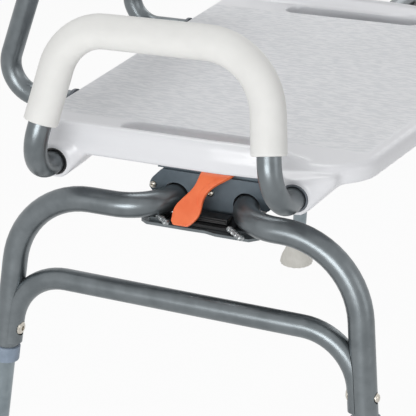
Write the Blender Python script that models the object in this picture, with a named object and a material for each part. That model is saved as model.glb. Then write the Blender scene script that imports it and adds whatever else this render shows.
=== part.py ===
"""Tub transfer bench with a sliding, swivelling seat.

Two bent side tubes make the rails and the four splayed legs. A carriage runs
along the rails, a swivel stands on the carriage, and the seat with its two
armrests and its backrest turns on the swivel. Metres, +Z up, +X to the seat's
front, +Y along the rails; the origin is on the floor under the frame's middle.
"""
import math

import bmesh
import bpy
from mathutils import Matrix, Vector

# Fits
GAP = 0.0003
TUBE_FIT = 0.0008
GLIDE_FIT = 0.0009

# Facets round a tube, round a turned piece and round a small hole
TUBE_SIDES = 12
TURNED_SIDES = 32
HOLE_SIDES = 8
BEND_STEP = math.radians(20)
FRAME_STEP = math.radians(15)
OUTLINE_STEP = math.radians(10)

# Side tubes: rails and legs in one bent tube
RAIL_HEIGHT = 0.499
FRAME_LENGTH = 0.861
LEG_SPREAD = 0.352
RAIL_SPACING = 0.0754
RAIL_OFFSET = 0.0112
TUBE_DIAMETER = 0.0254
TUBE_WALL = 0.0013
SPLAY_ACROSS = 0.114
SPLAY_ALONG = 0.133
SHOULDER_BEND = 0.0843
RAIL_BEND = 0.048
LEG_END_DEPTH = 0.1665

# Leg extensions, collars, tips and locating buttons
EXTENSION_DIAMETER = 0.0222
EXTENSION_WALL = 0.0014
EXTENSION_TOP_DEPTH = 0.080
BUTTON_DEPTH = 0.1475
LEG_HOLE_PITCH = 0.010
LEG_HOLES = 7
BUTTON_SHANK_RADIUS = 0.0031
BUTTON_HEAD_RADIUS = 0.0048
BUTTON_HEAD_HEIGHT = 0.0022
BUTTON_REACH = 0.0010
HOLE_FIT = 0.0004
COLLAR_LENGTH = 0.0165
COLLAR_DIAMETER = 0.030
TIP_HEIGHT = 0.048
TIP_FLOOR_THICKNESS = 0.012
TIP_BASE_DIAMETER = 0.056
TIP_TOP_DIAMETER = 0.031

# Crossbars
CROSSBAR_DIAMETER = 0.0222
CROSSBAR_REAR_DEPTH = 0.0851
CROSSBAR_FRONT_DEPTH = 0.0888
CROSSBAR_END_DEPTH = 0.1615
CROSSBAR_BEND = 0.060
CROSSBAR_NEST = 0.0180
CROSSBAR_SCREW_DEPTH = 0.1455
SCREW_SHANK_RADIUS = 0.0024
SCREW_HEAD_RADIUS = 0.0072
SCREW_HEAD_HEIGHT = 0.0030
SCREW_HEAD_SINK = 0.0027

# Welded plates and lock rack, under the rails
PLATE_HALF_WIDTH = 0.0625
PLATE_EDGE = 0.004
PLATE_LENGTH = 0.032
PLATE_THICKNESS = 0.003
PAD_LENGTH = 0.018
PAD_WIDTH = 0.016
PAD_EDGE = 0.012
RACK_WIDTH = 0.068
RACK_THICKNESS = 0.003
RACK_EDGE = 0.012

# Carriage
CARRIAGE_EDGE = 0.040
CARRIAGE_LENGTH = 0.425
CARRIAGE_TRAVEL = 0.348
LOCK_STEPS = 12
BRACKET_THICKNESS = 0.003
BRACKET_HALF_WIDTH = 0.0665
BRACKET_TOP = 0.0268
BRACKET_LOW = 0.0125
BRACKET_LOBE_LOW = 0.0015
BRACKET_CORNER = 0.0140
BRACKET_SCREW_HEIGHT = 0.009
BRACKET_SCREW_REACH = 0.0620
BRACKET_SCREW_LENGTH = 0.012
BRACKET_SCREW_RADIUS = 0.0020
BRACKET_HEAD_RADIUS = 0.0036
BRACKET_HEAD_HEIGHT = 0.0024
ARCH_FIT = 0.0015
FLANGE_LENGTH = 0.016
GLIDE_LENGTH = 0.040
CARRIAGE_PLATE_HALF_WIDTH = 0.058
CARRIAGE_PLATE_THICKNESS = 0.003

# Swivel
RING_INNER_RADIUS = 0.072
RING_OUTER_RADIUS = 0.100
RING_HEIGHT = 0.0055
SWIVEL_PLATE_RADIUS = 0.128
SWIVEL_PLATE_THICKNESS = 0.003
POST_RADIUS = 0.0097
POST_FLANGE_RADIUS = 0.026
POST_FLANGE_HEIGHT = 0.003
SEAT_SCREW_CIRCLE = 0.114
SEAT_SCREW_RADIUS = 0.0025
SEAT_SCREW_LENGTH = 0.014
SEAT_SCREW_HEAD_RADIUS = 0.005
SEAT_SCREW_HEAD_HEIGHT = 0.0024
SEAT_SCREW_HEAD_EDGE = 0.001

# Release lever and lock pin
LEVER_THICKNESS = 0.0035
LEVER_LEFT = 0.006
LEVER_RIGHT = 0.039
LEVER_PIVOT = 0.104
LEVER_CLEARANCE = 0.0022
LEVER_EYE_RADIUS = 0.0031
LEVER_PIN_RADIUS = 0.0017
EAR_THICKNESS = 0.002
EAR_HEIGHT = 0.0068
EAR_FOOT = 0.0012
LOCK_PLACE = 0.066
LOCK_ACROSS = 0.0165
LOCK_PIN_RADIUS = 0.0034
LOCK_PIN_REACH = 0.0028
LOCK_PIN_HEAD = 0.0033
LOCK_FLANGE_RADIUS = 0.0062
LOCK_FLANGE_THICKNESS = 0.002
LOCK_GUIDE_LENGTH = 0.012
SPRING_RADIUS = 0.0050
SPRING_WIRE = 0.0006
SPRING_TURNS = 4
CROSS_PIN_RADIUS = 0.0015
CROSS_PIN_LENGTH = 0.014
LEVER_SLOT_RADIUS = 0.0048

# Seat
SEAT_EDGE = -0.014
SEAT_LENGTH = 0.533
SEAT_REAR = -0.172
SEAT_TOP = 0.071
SEAT_SKIRT = 0.052
SEAT_REAR_CORNER = 0.035
SEAT_BOW = 0.060
SEAT_BOW_BEND = 0.40
SEAT_CORNER = (0.1765, 0.020)
SEAT_CORNER_BEND = 0.050
SEAT_CROWN = 0.2115
SEAT_CROWN_BEND = 0.75
SEAT_UPPER_EDGE = 0.006
SEAT_LOWER_EDGE = 0.004
SEAT_PAD_RADIUS = 0.132
SEAT_PAD_EDGE = 0.002

# Raised rims at the seat's two ends, with a handhold cut inside each
RIM_RISE = 0.012
HOLD_REAR = -0.078
HOLD_FRONT = 0.090
HOLD_OUTER = 0.0285
HOLD_INNER = 0.0585
HOLD_CORNER = 0.013

# Armrest sockets in the seat's two ends
BOSS_FRONT = 0.1206
BOSS_REAR = -0.1267
BOSS_HEIGHT = 0.044
BOSS_MOUTH = -0.020
BOSS_DEPTH = 0.040
BOSS_RADIUS = 0.0170
BOSS_FAIRING = 0.038
BOSS_NOSE = 0.007
BUSH_WALL = 0.0015
BUSH_LENGTH = 0.034

# Armrests
ARM_DIAMETER = 0.0222
ARM_WALL = 0.0014
ARM_REACH = 0.036
ARM_ELBOW = -0.078
ARM_ELBOW_BEND = 0.037
ARM_TOP_PLANE = -0.029
ARM_REAR_CORNER = (-0.099, 0.183)
ARM_FRONT_CORNER = (0.098, 0.1855)
ARM_REAR_BEND = 0.046
ARM_FRONT_BEND = 0.066
GRIP_DIAMETER = 0.0326
GRIP_END = 0.098

# Backrest
BACK_DIAMETER = 0.0222
BACK_WALL = 0.0014
BACK_SPACING = 0.2845
BACK_SOCKET_HEIGHT = 0.0565
BACK_SOCKET_DEPTH = 0.036
BACK_SOCKET_WIDTH = 0.032
BACK_SOCKET_LIFT = 0.0022
BACK_HEEL = -0.2635
BACK_KNEE = (-0.2066, 0.2036)
BACK_TOP = 0.345
BACK_HEEL_BEND = 0.033
BACK_KNEE_BEND = 0.050
BACK_CORNER_BEND = 0.045
BACK_RING_THICKNESS = 0.004
BACK_RING_RADIUS = 0.0135
PANEL_WIDTH = 0.360
PANEL_LOW = 0.205
PANEL_HIGH = 0.335
PANEL_THICKNESS = 0.018
PANEL_CORNER = 0.035
PANEL_PEG_INSET = 0.030
PANEL_PEG_RADIUS = 0.003
PANEL_PEG_REACH = 0.0015

# Places that follow from the sizes above
TUBE_RADIUS = TUBE_DIAMETER / 2
BORE_RADIUS = TUBE_RADIUS - TUBE_WALL
EXTENSION_RADIUS = EXTENSION_DIAMETER / 2
CROSSBAR_RADIUS = CROSSBAR_DIAMETER / 2
ARM_RADIUS = ARM_DIAMETER / 2
BACK_RADIUS = BACK_DIAMETER / 2
NEAR_PLANE = -FRAME_LENGTH / 2
ENDS = {"near": -1, "far": 1}
SIDES = {"rear": -1, "front": 1}
SEAT_MIDDLE = NEAR_PLANE + SEAT_EDGE + SEAT_LENGTH / 2
CARRIAGE_MIDDLE = NEAR_PLANE + CARRIAGE_EDGE + CARRIAGE_LENGTH / 2
PLATE_TOP = RAIL_HEIGHT - TUBE_RADIUS - GAP - RACK_THICKNESS - GAP
RACK_TOP = RAIL_HEIGHT - TUBE_RADIUS - GAP
FLANGE_TOP = RAIL_HEIGHT + BRACKET_TOP
CARRIAGE_PLATE_LOW = FLANGE_TOP + GAP
CARRIAGE_PLATE_TOP = CARRIAGE_PLATE_LOW + CARRIAGE_PLATE_THICKNESS
LOWER_RING_LOW = CARRIAGE_PLATE_TOP + GAP
UPPER_RING_LOW = LOWER_RING_LOW + RING_HEIGHT + GAP
SWIVEL_PLATE_LOW = UPPER_RING_LOW + RING_HEIGHT + GAP
SEAT_LOW = SWIVEL_PLATE_LOW + SWIVEL_PLATE_THICKNESS + GAP
SKIRT_LOW = RAIL_HEIGHT + SEAT_SKIRT
FIELD_TOP = RAIL_HEIGHT + SEAT_TOP
LEVER_LOW = CARRIAGE_PLATE_TOP + LEVER_CLEARANCE
LEVER_MID = LEVER_LOW + LEVER_THICKNESS / 2
LOCK_PITCH = CARRIAGE_TRAVEL / LOCK_STEPS
LOCK_Y = NEAR_PLANE + LOCK_PLACE
PIVOT_Y = NEAR_PLANE + LEVER_PIVOT

X_AXIS = Vector((1, 0, 0))
Y_AXIS = Vector((0, 1, 0))
Z_AXIS = Vector((0, 0, 1))


def clear_scene():
    for old in list(bpy.data.objects):
        bpy.data.objects.remove(old, do_unlink=True)


def finish_material(name, colour, roughness, metallic=0.0):
    """A plain Principled finish; each piece gets its own."""
    finish = bpy.data.materials.new(name)
    finish.use_nodes = True
    shader = finish.node_tree.nodes["Principled BSDF"]
    shader.inputs["Base Color"].default_value = (*colour, 1.0)
    shader.inputs["Roughness"].default_value = roughness
    shader.inputs["Metallic"].default_value = metallic
    finish.diffuse_color = (*colour, 1.0)
    return finish


FINISHES = {
    "frame_tube": ((0.13, 0.15, 0.155), 0.33, 0.75),
    "extension_tube": ((0.27, 0.31, 0.33), 0.30, 0.8),
    "steel_bracket": ((0.06, 0.075, 0.085), 0.45, 0.3),
    "black_plastic": ((0.012, 0.012, 0.013), 0.5, 0.0),
    "grey_plastic": ((0.24, 0.28, 0.34), 0.5, 0.0),
    "white_plastic": ((0.82, 0.83, 0.85), 0.42, 0.0),
    "cream_rubber": ((0.75, 0.74, 0.70), 0.7, 0.0),
    "white_foam": ((0.80, 0.80, 0.78), 0.75, 0.0),
    "orange_plastic": ((0.80, 0.15, 0.06), 0.45, 0.0),
    "bright_steel": ((0.60, 0.57, 0.52), 0.3, 1.0),
}


def add_object(name, mesh_builder, finish):
    """Turn a bmesh into a named object, with its faces pointing out."""
    bmesh.ops.remove_doubles(mesh_builder, verts=mesh_builder.verts, dist=1e-7)
    bmesh.ops.recalc_face_normals(mesh_builder, faces=mesh_builder.faces)
    mesh = bpy.data.meshes.new(name)
    mesh_builder.to_mesh(mesh)
    mesh_builder.free()
    mesh.shade_smooth()
    mesh.set_sharp_from_angle(angle=math.radians(35))
    piece = bpy.data.objects.new(name, mesh)
    bpy.context.scene.collection.objects.link(piece)
    if finish:
        mesh.materials.append(finish_material(name, *FINISHES[finish]))
    return piece


def set_origin(piece, point):
    """Move a piece's origin to a point on its joint's axis, leaving the shape where it is."""
    point = Vector(point)
    piece.data.transform(Matrix.Translation(-point))
    piece.location = point


def bridge(builder, first, second, closed=True):
    """Faces between two rings or rows of vertices with equal counts."""
    count = len(first)
    for i in range(count if closed else count - 1):
        j = (i + 1) % count
        builder.faces.new((first[i], first[j], second[j], second[i]))


def skin(builder, rings, cap_start=True, cap_end=True):
    """A surface through closed rings of points, with flat caps; returns its rings of vertices."""
    made = [[builder.verts.new(point) for point in ring] for ring in rings]
    for first, second in zip(made, made[1:]):
        bridge(builder, first, second)
    if cap_start:
        builder.faces.new(made[0])
    if cap_end:
        builder.faces.new(made[-1])
    return made


def circle(centre, across, up, radius, sides, turn=0.0):
    return [
        centre + (across * math.cos(a) + up * math.sin(a)) * radius
        for a in (2 * math.pi * (i + turn) / sides for i in range(sides))
    ]


def square_axes(axis, guide):
    """Two unit vectors square to an axis, the first one nearest the guide."""
    axis = axis.normalized()
    across = (guide - axis * guide.dot(axis)).normalized()
    return across, axis.cross(across)


def turned(name, start, axis, profile, finish, guide=Z_AXIS, sides=TURNED_SIDES, closed=False):
    """A piece turned about an axis from (radius, distance) points; closed makes a ring."""
    axis = Vector(axis).normalized()
    across, up = square_axes(axis, Vector(guide))
    builder = bmesh.new()
    rings = [
        circle(Vector(start) + axis * distance, across, up, radius, sides)
        for radius, distance in profile
    ]
    made = skin(builder, rings, cap_start=not closed, cap_end=not closed)
    if closed:
        bridge(builder, made[-1], made[0])
    return add_object(name, builder, finish)


def ring_profile(inner, outer, length):
    return [(inner, 0.0), (outer, 0.0), (outer, length), (inner, length)]


def cutter(name, start, axis, radius, length, sides=HOLE_SIDES, guide=Z_AXIS):
    """A hidden rod that a Boolean takes away."""
    rod = turned("cut_" + name, start, axis, [(radius, 0.0), (radius, length)], None, guide, sides)
    return hide(rod)


def hide(tool):
    tool.hide_render = True
    tool.display_type = "WIRE"
    return tool


def combine(piece, tools, operation="DIFFERENCE"):
    for tool in tools:
        step = piece.modifiers.new(operation.lower() + "_" + tool.name, "BOOLEAN")
        step.operation = operation
        step.solver = "EXACT"
        step.object = tool
    return piece


def box_object(name, low, high, finish):
    builder = bmesh.new()
    low, high = Vector(low), Vector(high)
    bmesh.ops.create_cube(builder, size=1.0)
    bmesh.ops.scale(builder, vec=high - low, verts=builder.verts)
    bmesh.ops.translate(builder, vec=(low + high) / 2, verts=builder.verts)
    return add_object(name, builder, finish)


def extruded(name, outline, place, travel, finish):
    """A flat outline of points, each put in place by a function, pushed along a vector."""
    builder = bmesh.new()
    start = [place(*point) for point in outline]
    skin(builder, [start, [point + Vector(travel) for point in start]])
    return add_object(name, builder, finish)


def rounded_path(corners, bends, step=BEND_STEP):
    """Points along straight runs joined by arcs of the given radii at the inner corners."""
    corners = [Vector(corner) for corner in corners]
    path = [corners[0]]
    for before, corner, after, radius in zip(corners, corners[1:], corners[2:], bends):
        inward = (before - corner).normalized()
        outward = (after - corner).normalized()
        turn = math.pi - inward.angle(outward)
        if radius <= 0 or turn < 1e-4:
            path.append(corner)
            continue
        reach = radius * math.tan(turn / 2)
        centre = corner + (inward + outward).normalized() * (radius / math.cos(turn / 2))
        start = corner + inward * reach
        spoke = start - centre
        axis = inward.cross(outward).normalized()
        steps = max(2, round(turn / step))
        for i in range(steps + 1):
            path.append(centre + Matrix.Rotation(-turn * i / steps, 3, axis) @ spoke)
    path.append(corners[-1])
    return path


def path_frames(path, guide, anchor=0):
    """A tangent and an untwisted cross direction at every point, square to the guide at the anchor."""
    tangents = []
    for i, point in enumerate(path):
        ahead = (path[i + 1] - point).normalized() if i + 1 < len(path) else None
        behind = (point - path[i - 1]).normalized() if i else None
        tangents.append(((ahead or behind) + (behind or ahead)).normalized())
    cross = [None] * len(path)
    cross[anchor] = square_axes(tangents[anchor], Vector(guide))[0]
    for order in (range(anchor + 1, len(path)), range(anchor - 1, -1, -1)):
        for i in order:
            step = i - 1 if i > anchor else i + 1
            turned_by = tangents[step].rotation_difference(tangents[i])
            cross[i] = turned_by @ cross[step]
    return list(zip(tangents, cross))


def tube_rings(path, frames, radius, sides=TUBE_SIDES):
    return [
        circle(point, cross, tangent.cross(cross), radius, sides)
        for point, (tangent, cross) in zip(path, frames)
    ]


def hollow_tube(name, path, frames, radius, bore, finish):
    """A tube that is open from end to end."""
    builder = bmesh.new()
    outer = skin(builder, tube_rings(path, frames, radius), False, False)
    inner = skin(builder, tube_rings(path, frames, bore), False, False)
    bridge(builder, outer[0], inner[0])
    bridge(builder, outer[-1], inner[-1])
    return add_object(name, builder, finish)


def solid_tube(name, path, frames, radius, finish):
    """A bent bar with flat ends."""
    builder = bmesh.new()
    skin(builder, tube_rings(path, frames, radius))
    return add_object(name, builder, finish)


# Frame

def leg_slope(side, end):
    return Vector((side * SPLAY_ACROSS, end * SPLAY_ALONG, -1.0))


def leg_axis(side, end):
    return leg_slope(side, end).normalized()


def leg_point(side, end, depth):
    """A point on a leg's axis, so far below the rails."""
    corner = Vector((side * LEG_SPREAD / 2, end * FRAME_LENGTH / 2, RAIL_HEIGHT))
    return corner + leg_slope(side, end) * depth


def leg_outward(side, end):
    """The direction square to a leg that points to the bench's outer side."""
    return square_axes(leg_axis(side, end), X_AXIS * side)[0]


def rail_x(side):
    return RAIL_OFFSET + side * RAIL_SPACING / 2


def side_tube_path(side):
    half = FRAME_LENGTH / 2
    corners = [
        leg_point(side, -1, LEG_END_DEPTH),
        leg_point(side, -1, 0.0),
        (rail_x(side), -half, RAIL_HEIGHT),
        (rail_x(side), half, RAIL_HEIGHT),
        leg_point(side, 1, 0.0),
        leg_point(side, 1, LEG_END_DEPTH),
    ]
    return rounded_path(corners, [SHOULDER_BEND, RAIL_BEND, RAIL_BEND, SHOULDER_BEND], FRAME_STEP)


def side_tube_frames(path):
    """Frames that stand upright on the rail; both legs then match each other."""
    rail_start = max(range(len(path) - 1), key=lambda i: (path[i + 1] - path[i]).length)
    return path_frames(path, Z_AXIS, rail_start)


def leg_guide(side, end):
    """The cross direction of the side tube's facets at a leg."""
    frames = side_tube_frames(side_tube_path(side))
    return frames[0][1] if end < 0 else frames[-1][1]


def leg_hole(name, side, end, depth, radius, inside, outside, inner_side=False):
    """A rod square to a leg, between two distances from the leg's axis."""
    way = leg_outward(side, end) * (-1 if inner_side else 1)
    start = leg_point(side, end, depth) + way * inside
    return cutter(name, start, way, radius, outside - inside, guide=Y_AXIS)


def make_side_tube(side_name, side):
    path = side_tube_path(side)
    tube = hollow_tube(
        f"side_tube_{side_name}", path, side_tube_frames(path), TUBE_RADIUS, BORE_RADIUS, "frame_tube"
    )
    inside = BORE_RADIUS - TUBE_WALL
    outside = TUBE_RADIUS + TUBE_WALL
    for end_name, end in ENDS.items():
        where = f"{side_name}_{end_name}"
        button = BUTTON_SHANK_RADIUS + HOLE_FIT
        screw = SCREW_SHANK_RADIUS + HOLE_FIT
        holes = [
            leg_hole(f"button_{where}", side, end, BUTTON_DEPTH, button, inside, outside),
            leg_hole(f"screw_{where}", side, end, CROSSBAR_SCREW_DEPTH, screw, inside, outside, True),
        ]
        combine(tube, holes)


def crossbar_inset():
    """How far the axis of a crossbar's coped end stands from the leg's axis."""
    return TUBE_RADIUS + CROSSBAR_RADIUS - CROSSBAR_NEST


def screw_seat():
    """Where the flat under a crossbar screw's head is, from the leg's axis."""
    return crossbar_inset() + CROSSBAR_RADIUS - SCREW_HEAD_SINK


def make_crossbar(end_name, end):
    depths = {"rear": CROSSBAR_REAR_DEPTH, "front": CROSSBAR_FRONT_DEPTH}

    def beside_leg(side_name, depth):
        side = SIDES[side_name]
        return leg_point(side, end, depth) - leg_outward(side, end) * crossbar_inset()

    corners = [
        beside_leg("rear", CROSSBAR_END_DEPTH),
        beside_leg("rear", depths["rear"]),
        beside_leg("front", depths["front"]),
        beside_leg("front", CROSSBAR_END_DEPTH),
    ]
    path = rounded_path(corners, [CROSSBAR_BEND, CROSSBAR_BEND])
    middle = max(range(len(path) - 1), key=lambda i: (path[i + 1] - path[i]).length)
    frames = path_frames(path, Z_AXIS, middle)
    bar = solid_tube(f"crossbar_{end_name}", path, frames, CROSSBAR_RADIUS, "frame_tube")
    cuts = []
    for side_name, side in SIDES.items():
        where = f"{side_name}_{end_name}"
        start = depths[side_name] - CROSSBAR_DIAMETER
        top = leg_point(side, end, start)
        length = (CROSSBAR_END_DEPTH - start) * leg_slope(side, end).length + CROSSBAR_DIAMETER
        guide = leg_guide(side, end)
        axis = leg_axis(side, end)
        cuts.append(cutter(f"cope_{where}", top, axis, TUBE_RADIUS + GAP, length, TUBE_SIDES, guide))
        far_side = crossbar_inset() + CROSSBAR_RADIUS + TUBE_WALL
        hole = SCREW_SHANK_RADIUS + HOLE_FIT
        hole_name = f"bar_screw_{where}"
        cuts.append(leg_hole(hole_name, side, end, CROSSBAR_SCREW_DEPTH, hole, BORE_RADIUS, far_side, True))
        face = leg_point(side, end, CROSSBAR_SCREW_DEPTH) - leg_outward(side, end) * screw_seat()
        way = -leg_outward(side, end)
        radius = SCREW_HEAD_RADIUS + HOLE_FIT
        depth = SCREW_HEAD_SINK + TUBE_WALL
        cuts.append(cutter(f"spot_face_{where}", face, way, radius, depth, TUBE_SIDES, Y_AXIS))
    combine(bar, cuts)


def make_crossbar_screw(side_name, side, end_name, end):
    way = -leg_outward(side, end)
    seat = screw_seat() + GAP
    profile = [
        (SCREW_SHANK_RADIUS, BORE_RADIUS + GAP),
        (SCREW_SHANK_RADIUS, seat),
        (SCREW_HEAD_RADIUS, seat),
        (SCREW_HEAD_RADIUS, seat + SCREW_HEAD_HEIGHT * 0.35),
        (SCREW_HEAD_RADIUS * 0.8, seat + SCREW_HEAD_HEIGHT * 0.8),
        (SCREW_HEAD_RADIUS * 0.45, seat + SCREW_HEAD_HEIGHT),
    ]
    centre = leg_point(side, end, CROSSBAR_SCREW_DEPTH)
    turned(f"crossbar_screw_{end_name}_{side_name}", centre, way, profile, "bright_steel", Y_AXIS, TUBE_SIDES)


def make_leg_collar(side_name, side, end_name, end):
    axis = leg_axis(side, end)
    guide = leg_guide(side, end)
    start = leg_point(side, end, LEG_END_DEPTH) + axis * GAP
    radius = COLLAR_DIAMETER / 2
    profile = [
        (BORE_RADIUS, 0.0),
        (radius - 0.0015, 0.0),
        (radius, 0.0015),
        (radius, COLLAR_LENGTH - 0.002),
        (radius - 0.002, COLLAR_LENGTH),
        (BORE_RADIUS, COLLAR_LENGTH),
    ]
    turned(f"leg_collar_{end_name}_{side_name}", start, axis, profile, "grey_plastic", guide, TUBE_SIDES, True)


def foot_centre(side, end):
    return leg_point(side, end, RAIL_HEIGHT)


def make_leg_extension(side_name, side, end_name, end):
    axis = leg_axis(side, end)
    slant = leg_slope(side, end).length
    top = leg_point(side, end, EXTENSION_TOP_DEPTH)
    length = (RAIL_HEIGHT - EXTENSION_TOP_DEPTH) * slant - TIP_FLOOR_THICKNESS - GAP
    path = [top, top + axis * length]
    frames = path_frames(path, leg_guide(side, end))
    name = f"leg_extension_{end_name}_{side_name}"
    tube = hollow_tube(
        name, path, frames, EXTENSION_RADIUS, EXTENSION_RADIUS - EXTENSION_WALL, "extension_tube"
    )
    inside = EXTENSION_RADIUS - 2 * EXTENSION_WALL
    outside = EXTENSION_RADIUS + EXTENSION_WALL
    holes = []
    for i in range(LEG_HOLES):
        depth = BUTTON_DEPTH - i * LEG_HOLE_PITCH / slant
        radius = BUTTON_SHANK_RADIUS + HOLE_FIT
        holes.append(leg_hole(f"{name}_{i}", side, end, depth, radius, inside, outside))
    combine(tube, holes)
    set_origin(tube, leg_point(side, end, LEG_END_DEPTH))


def make_foot_tip(side_name, side, end_name, end):
    """A bell of rubber, flat on the floor, with a pocket for the extension."""
    axis = leg_axis(side, end)
    centre = foot_centre(side, end)
    guide = leg_guide(side, end)
    floor_axes = square_axes(-Z_AXIS, guide)
    leg_axes = square_axes(axis, guide)
    base, top = TIP_BASE_DIAMETER / 2, TIP_TOP_DIAMETER / 2

    def outer_ring(share, radius):
        level = centre - axis * (TIP_HEIGHT * share)
        tilt = [floor_axes[k].lerp(leg_axes[k], share).normalized() for k in (0, 1)]
        return circle(level, tilt[0], tilt[1], radius, TUBE_SIDES)

    rings = [
        outer_ring(0.0, base - 0.002),
        outer_ring(0.05, base),
        outer_ring(0.16, base - 0.0015),
        outer_ring(0.45, base + (top - base) * 0.55),
        outer_ring(0.75, base + (top - base) * 0.92),
        outer_ring(1.0, top),
    ]
    rings[0] = [Vector((p.x, p.y, 0.0)) for p in rings[0]]
    pocket = EXTENSION_RADIUS + GAP
    for distance in (TIP_HEIGHT, TIP_FLOOR_THICKNESS):
        rings.append(circle(centre - axis * distance, leg_axes[0], leg_axes[1], pocket, TUBE_SIDES))
    builder = bmesh.new()
    skin(builder, rings)
    tip = add_object(f"foot_tip_{end_name}_{side_name}", builder, "cream_rubber")
    set_origin(tip, leg_point(side, end, LEG_END_DEPTH))


def make_leg_button(side_name, side, end_name, end):
    """A headed pin through the leg's wall into a hole of the extension."""
    way = leg_outward(side, end)
    centre = leg_point(side, end, BUTTON_DEPTH)
    tip = EXTENSION_RADIUS - EXTENSION_WALL - BUTTON_REACH
    seat = TUBE_RADIUS + GAP
    profile = [
        (BUTTON_SHANK_RADIUS - 0.0006, tip),
        (BUTTON_SHANK_RADIUS, tip + 0.0008),
        (BUTTON_SHANK_RADIUS, seat),
        (BUTTON_HEAD_RADIUS, seat),
        (BUTTON_HEAD_RADIUS * 0.85, seat + BUTTON_HEAD_HEIGHT * 0.6),
        (BUTTON_HEAD_RADIUS * 0.4, seat + BUTTON_HEAD_HEIGHT),
    ]
    button = turned(
        f"leg_button_{end_name}_{side_name}", centre, way, profile, "bright_steel", Y_AXIS, TUBE_SIDES
    )
    set_origin(button, centre + way * seat)


def plate_outline():
    """The welded plate seen from above: across the rails, and in from its outer edge."""
    half, step, corner = PLATE_HALF_WIDTH, 0.004, 0.008
    outline = [(-half, corner), (-half + corner, 0.0025), (-0.010, 0.0025), (0.008, 0.0030)]
    outline += [(0.020, 0.0), (half - corner, 0.0), (half, corner), (half, PLATE_LENGTH - step)]
    outline += [(half - step, PLATE_LENGTH), (-half + step, PLATE_LENGTH), (-half, PLATE_LENGTH - step)]
    return outline


def bend_offset(depth):
    """How far outside its rail line the side tube's axis is, at a depth from the end plane."""
    left = max(0.0, RAIL_BEND - depth)
    return RAIL_BEND - math.sqrt(max(0.0, RAIL_BEND**2 - left**2))


def make_weld_plate(end_name, end):
    edge = end * (FRAME_LENGTH / 2 - PLATE_EDGE)
    low = PLATE_TOP - PLATE_THICKNESS

    def place(across, inward):
        return Vector((RAIL_OFFSET + across, edge - end * inward, low))

    plate = extruded(f"weld_plate_{end_name}", plate_outline(), place, Z_AXIS * PLATE_THICKNESS, "frame_tube")
    pads = []
    for side_name, side in SIDES.items():
        middle = PAD_EDGE + PAD_LENGTH / 2
        x = rail_x(side) + side * bend_offset(middle)
        y = end * (FRAME_LENGTH / 2 - middle)
        corner = Vector((PAD_WIDTH / 2, PAD_LENGTH / 2, 0.0))
        base = Vector((x, y, PLATE_TOP - PLATE_THICKNESS / 2))
        top = Vector((x, y, RACK_TOP))
        pads.append(hide(box_object(f"cut_pad_{end_name}_{side_name}", base - corner, top + corner, None)))
    combine(plate, pads, "UNION")


def make_lock_rack():
    """The drilled strip under the rails that the lock pin drops into."""
    half = FRAME_LENGTH / 2 - RACK_EDGE
    low = Vector((RAIL_OFFSET - RACK_WIDTH / 2, -half, RACK_TOP - RACK_THICKNESS))
    high = Vector((RAIL_OFFSET + RACK_WIDTH / 2, half, RACK_TOP))
    rack = box_object("lock_rack", low, high, "black_plastic")
    holes = bmesh.new()
    for i in range(LOCK_STEPS + 1):
        centre = Vector((LOCK_ACROSS, LOCK_Y + i * LOCK_PITCH, RACK_TOP - 2 * RACK_THICKNESS))
        radius = LOCK_PIN_RADIUS + HOLE_FIT
        ring = circle(centre, X_AXIS, Y_AXIS, radius, HOLE_SIDES)
        skin(holes, [ring, [p + Z_AXIS * 3 * RACK_THICKNESS for p in ring]])
    combine(rack, [hide(add_object("cut_lock_holes", holes, None))])


# Carriage

def saddle_outline(half_width, top, low, lobe_low, arch, corner):
    """A plate that straddles both rails: (across, up) points about the rails' middle."""
    reach = RAIL_SPACING / 2
    outline = [(half_width - corner, top), (half_width, top - corner), (half_width, 0.006)]
    outline.append((half_width - 0.006, -lobe_low))
    start = math.asin(-lobe_low / arch)
    stop = math.pi - math.asin(-low / arch)
    steps = 12
    for i in range(steps + 1):
        angle = start + (stop - start) * i / steps
        outline.append((reach + arch * math.cos(angle), arch * math.sin(angle)))
    mirrored = [(-across, up) for across, up in reversed(outline)]
    return outline + mirrored


def make_carriage_bracket(end_name, end):
    """End plate of the carriage, with its bent top flange."""
    face = CARRIAGE_MIDDLE + end * CARRIAGE_LENGTH / 2
    arch = TUBE_RADIUS + ARCH_FIT
    outline = saddle_outline(
        BRACKET_HALF_WIDTH, BRACKET_TOP, BRACKET_LOW, BRACKET_LOBE_LOW, arch, BRACKET_CORNER
    )

    def place(across, up):
        return Vector((RAIL_OFFSET + across, face, RAIL_HEIGHT + up))

    inward = Y_AXIS * -end * BRACKET_THICKNESS
    bracket = extruded(f"carriage_bracket_{end_name}", outline, place, inward, "steel_bracket")
    half = BRACKET_HALF_WIDTH - BRACKET_CORNER
    near_side = face - end * BRACKET_THICKNESS / 2
    far_side = face - end * (BRACKET_THICKNESS + FLANGE_LENGTH)
    low = (RAIL_OFFSET - half, min(near_side, far_side), FLANGE_TOP - BRACKET_THICKNESS)
    high = (RAIL_OFFSET + half, max(near_side, far_side), FLANGE_TOP)
    flange = hide(box_object(f"cut_flange_{end_name}", low, high, None))
    combine(bracket, [flange], "UNION")
    combine(bracket, bracket_screw_cutters(f"bracket_{end_name}", end))


def bracket_screw_places():
    return {"rear": -BRACKET_SCREW_REACH, "middle": 0.0, "front": BRACKET_SCREW_REACH}


def bracket_screw_cutters(label, end):
    face = CARRIAGE_MIDDLE + end * CARRIAGE_LENGTH / 2
    start_y = face + end * BRACKET_THICKNESS
    length = BRACKET_SCREW_LENGTH + 2 * BRACKET_THICKNESS
    cuts = []
    for place, across in bracket_screw_places().items():
        start = Vector((RAIL_OFFSET + across, start_y, RAIL_HEIGHT + BRACKET_SCREW_HEIGHT))
        radius = BRACKET_SCREW_RADIUS + HOLE_FIT
        cuts.append(cutter(f"{label}_{place}", start, Y_AXIS * -end, radius, length))
    return cuts


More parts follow.
